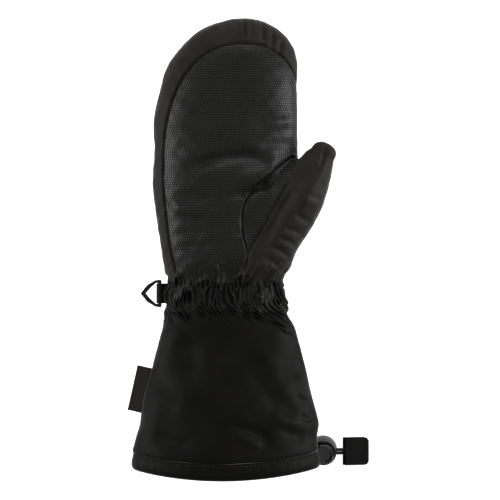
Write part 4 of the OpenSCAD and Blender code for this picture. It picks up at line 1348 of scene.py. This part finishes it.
label_mid = LABEL_NEAR - LABEL_LEN / 2
label_turn = math.atan2(float(cuff_half(LABEL_NEAR - LABEL_LEN) - cuff_half(LABEL_NEAR)), LABEL_LEN)
label_loop = folded_over(np.linspace(LABEL_HELD, -LABEL_OUT + LEAF, 16), LEAF, -LABEL_OUT + LEAF, LEAF,
                         np.linspace(math.pi / 2, 3 * math.pi / 2, 9)[1:-1])
along = np.linspace(-LABEL_LEN / 2, LABEL_LEN / 2, 60)
reach = np.clip(-label_loop[:, 0] / LABEL_OUT, 0, 1)
curl = reach ** 2 * (0.5 * np.sin(along / 9)[:, None] + 0.4)
turned = np.stack([*turned_by(-label_turn, label_loop[:, 0], along[:, None]), label_loop[:, 1] + curl], -1)
label_place = np.array([-float(cuff_half(label_mid)), label_mid, SEAM_Z])
label = lay_grid("side_label_band", turned + label_place, "label_weave", stands_for=["side_label"])
stitch_row("label_stitches", turned[2:-2, 4] + label_place, UP, 2.2, radius=SMALL_R)

# %% [markdown]
# ## Strap and ring
# A loop of ribbed webbing is sewn in at the wrist and holds a moulded triangle, for a hook. The
# webbing is one band: in along the top, round the ring's bar, and back along the bottom. Its ribs run
# across it, and a dense bar of thread closes the loop.

# %% Strap
STRAP_W, WEB_T = 15, 1.2
STRAP_RING = np.array([-49.74, -92.6, 21.5])        # the ring's bar, inside the loop
loop_r = 1.3 + 0.1 + WEB_T / 2
strap_in = 7.4                  # from the bar to the strap's ends inside the gathers
strap_run = np.linspace(strap_in, 0.3, 26)
strap_height = WEB_T / 2 + (loop_r - WEB_T / 2) * smooth_step(-strap_run, -4.2, 0)
strap_path, fine = spread_evenly(folded_over(
    strap_run, strap_height, 0, loop_r, np.linspace(math.pi / 2, 3 * math.pi / 2, 15)), 150)


def ribbon(path, across, offsets):
    """The two faces of a band that follows a path, as one closed grid."""
    flow = np.gradient(path, axis=0)
    outward = unit(np.column_stack([-flow[:, 1], flow[:, 0]]))
    layers = []
    for off in offsets:
        layer = np.empty((len(path), across.shape[-1], 3))
        layer[..., 0] = path[:, :1] + outward[:, :1] * off
        layer[..., 1] = across
        layer[..., 2] = path[:, 1:] + outward[:, 1:] * off
        layers.append(layer)
    return np.concatenate([layers[0], layers[1][:, ::-1]], axis=1)


band_y = np.linspace(-STRAP_W / 2, STRAP_W / 2, 61)
rib = 0.1 * np.abs(np.sin(math.pi * fine / 1.1))[:, None] + 0.05 * np.abs(np.sin(math.pi * band_y))[None]
edge_drop = 0.35 * smooth_step(np.abs(band_y), 6.9, 7.5)[None]
thick = WEB_T / 2 - edge_drop + rib - 0.1
strap_shell = ribbon(strap_path, band_y, (thick, -thick)) + STRAP_RING
lay_grid("ring_strap_webbing", strap_shell, "webbing", True, stands_for=["ring_strap"])
tack = np.array([(4.4 + 0.5 * (k % 2), y) for k, y in enumerate(np.linspace(-6.2, 6.2, 30))])
tack_line = np.column_stack([tack[:, 0], tack[:, 1], np.full(len(tack), WEB_T + 0.12)]) + STRAP_RING
stitch_row("strap_bartack", tack_line, UP, 0.62, 0.9, radius=SMALL_R)

# %% [markdown]
# ## The pull tab
# The tab is a ribbon folded over the cord ends and sewn shut. Its fold is the far end, with the
# corners trimmed round, and its ribs run across it. It hangs down a little from the cords.

# %% Pull tab
TAB_LEN, TAB_W, TAB_GAP, LOCK_D = 20, 21, 5, 21
TAB_DROOP = math.radians(17)
tab_open = CORD_D + 0.6 + 2 * CORD_ASIDE * math.sin(LOCK_LEAN)
tab_half = tab_open / 2 + 1
TAB_MOUTH = LOCK_CENTRE + (LOCK_D / 2 + TAB_GAP, 0, -0.2)
tab_run = np.linspace(0, TAB_LEN - tab_half, 40)
tab_path, fine = spread_evenly(folded_over(
    tab_run, tab_half * (0.72 + 0.28 * np.cos((tab_run - 9) / 9)), TAB_LEN - tab_half, tab_half,
    np.linspace(math.pi / 2, -math.pi / 2, 15)[1:-1]), 190)
corner = smooth_step(tab_path[:, 0], TAB_LEN - 4.5, TAB_LEN)
half_width = TAB_W / 2 - 2.6 * corner ** 2
across = np.linspace(-1, 1, 41)
tab_rib = 0.13 * np.abs(np.sin(math.pi * fine / 1.7))[:, None] + 0 * across


def hang(points):
    """Turns the tab's own points down by its droop and moves them to its mouth."""
    x, z = turned_by(-TAB_DROOP, points[..., 0], points[..., 2])
    return np.stack([x, points[..., 1], z], -1) + TAB_MOUTH


tab_shell = hang(ribbon(tab_path, across * half_width[:, None], (tab_rib - 0.1, -1)))
tab = lay_grid("pull_tab_ribbon", tab_shell, "tab_ribbon", True, body="tab", stands_for=["pull_tab"])
box_x, box_y = 15.0, 8.6
tab_box = np.array([(1.8, -box_y), (1.8, box_y), (box_x, box_y), (box_x, -box_y), (1.8, -box_y)])
box_line = read_off(tab_box, np.linspace(0, 4, 200), range(5))
box_z = np.interp(box_line[:, 0], tab_path[:60, 0], tab_path[:60, 1]) + 0.1
tab_up = np.array([math.sin(TAB_DROOP), 0, math.cos(TAB_DROOP)])
tab_stitches = stitch_row("tab_stitches", hang(np.column_stack([box_line, box_z])), tab_up, 2.0,
                          body="tab", radius=SMALL_R)

# %% [markdown]
# ## The spring under the button
# A short wire spring pushes the button up, and shortens by the button's travel when it is pressed. Its coil
# is the solid's own, made into a mesh piece.

# %% Spring
coil = frame["nodes"]["cord_lock_spring"]
coil_points = np.array([tuple(coil.matrix_world @ v.co) for v in coil.data.vertices]) / MM
coil_faces = [tuple(polygon.vertices) for polygon in coil.data.polygons]
spring = make_piece("cord_lock_spring_wire", coil_points, coil_faces, "spring_wire", body="lock",
                    stands_for=["cord_lock_spring"])
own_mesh(spring)

# %% [markdown]
# ## Hard pieces and hidden layers
# The ring, the cord lock and its button are right as solids, so they stay and only get their
# finishes. The layers that no one sees keep their solids too, each with its own finish.

# %% Finishes of the solid nodes
slots = {part["node"]: part["material_slot"] for part in frame["record"]["subparts"]}
for name, node in frame["nodes"].items():
    if name in replaced:
        continue
    node.data.materials.clear()
    node.data.materials.append(finishes[slots[name]])
    print(name, "takes", slots[name])

# %% [markdown]
# ## Baking the cords
# The two strands have their placement baked into their points, last of all.

# %% Baked cords
for name, (cord, line) in cords.items():
    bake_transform(cord)

# %% [markdown]
# ## Light
# Two large soft lights stand low at the left and the right, so that the dark cloth is brightest where
# it turns to its sides, and a weaker one beyond the fingertips shows the creases that run across the
# hand. Their level is plain, so that a colour renders about as it is written.

# %% Lights
def soft_light(name, place, size, power):
    data = bpy.data.lights.new(name, "AREA")
    data.shape = "RECTANGLE"
    data.size, data.size_y = size
    data.energy = power
    lamp = bpy.data.objects.new(name, data)
    lamp.location = place
    towards = Vector((0.0, -0.06, 0.02)) - lamp.location
    lamp.rotation_euler = towards.to_track_quat("-Z", "Y").to_euler()
    bpy.context.scene.collection.objects.link(lamp)


soft_light("left_softbox", (-1.1, 0.05, 0.45), (0.55, 0.8), 20)
soft_light("right_softbox", (1.1, 0.05, 0.45), (0.5, 0.8), 25)
soft_light("top_softbox", (0.1, 1.15, 0.55), (0.8, 0.4), 11)
print("three lamps, 56 W in all")

# %% [markdown]
# ## Floor and surroundings
# The floor is a plain pale sheet. The camera and mirror-like reflections see it and the surroundings
# as plain white, through the light path, while all other light meets matt paper and keeps the shadow.

# %% Floor and surroundings
FLOOR_SIZE = 3.0
bpy.ops.mesh.primitive_grid_add(x_subdivisions=8, y_subdivisions=8, size=FLOOR_SIZE, location=(0, 0, 0))
floor = bpy.context.object
floor.name = "floor"
floor_material = bpy.data.materials.new("floor_paper")
floor_material.use_nodes = True
tree = floor_material.node_tree
tree.nodes.clear()


def seen_directly(tree):
    """1 for camera, glossy and transmission rays, which see the plain white."""
    path = tree.nodes.new("ShaderNodeLightPath")
    total = path.outputs["Is Camera Ray"]
    for ray in ("Is Glossy Ray", "Is Transmission Ray"):
        add = tree.nodes.new("ShaderNodeMath")
        add.operation = "MAXIMUM"
        tree.links.new(total, add.inputs[0])
        tree.links.new(path.outputs[ray], add.inputs[1])
        total = add.outputs[0]
    return total


paper = tree.nodes.new("ShaderNodeBsdfDiffuse")
paper.inputs["Color"].default_value = (0.8, 0.8, 0.8, 1)
glow = tree.nodes.new("ShaderNodeEmission")
tree.links.new(seen_directly(tree), glow.inputs["Strength"])
both = tree.nodes.new("ShaderNodeAddShader")
out = tree.nodes.new("ShaderNodeOutputMaterial")
tree.links.new(paper.outputs[0], both.inputs[0])
tree.links.new(glow.outputs[0], both.inputs[1])
tree.links.new(both.outputs[0], out.inputs["Surface"])
floor.data.materials.append(floor_material)

world = bpy.data.worlds.new("studio")
bpy.context.scene.world = world
world.use_nodes = True
backdrop = world.node_tree.nodes["Background"]
mix = world.node_tree.nodes.new("ShaderNodeMix")
mix.data_type = "FLOAT"
mix.inputs["A"].default_value = 0.12
mix.inputs["B"].default_value = 1.0
world.node_tree.links.new(seen_directly(world.node_tree), mix.inputs["Factor"])
world.node_tree.links.new(mix.outputs["Result"], backdrop.inputs["Strength"])
backdrop.inputs["Color"].default_value = (1, 1, 1, 1)
bpy.context.scene.view_settings.view_transform = "Standard"
print("floor and surroundings set")
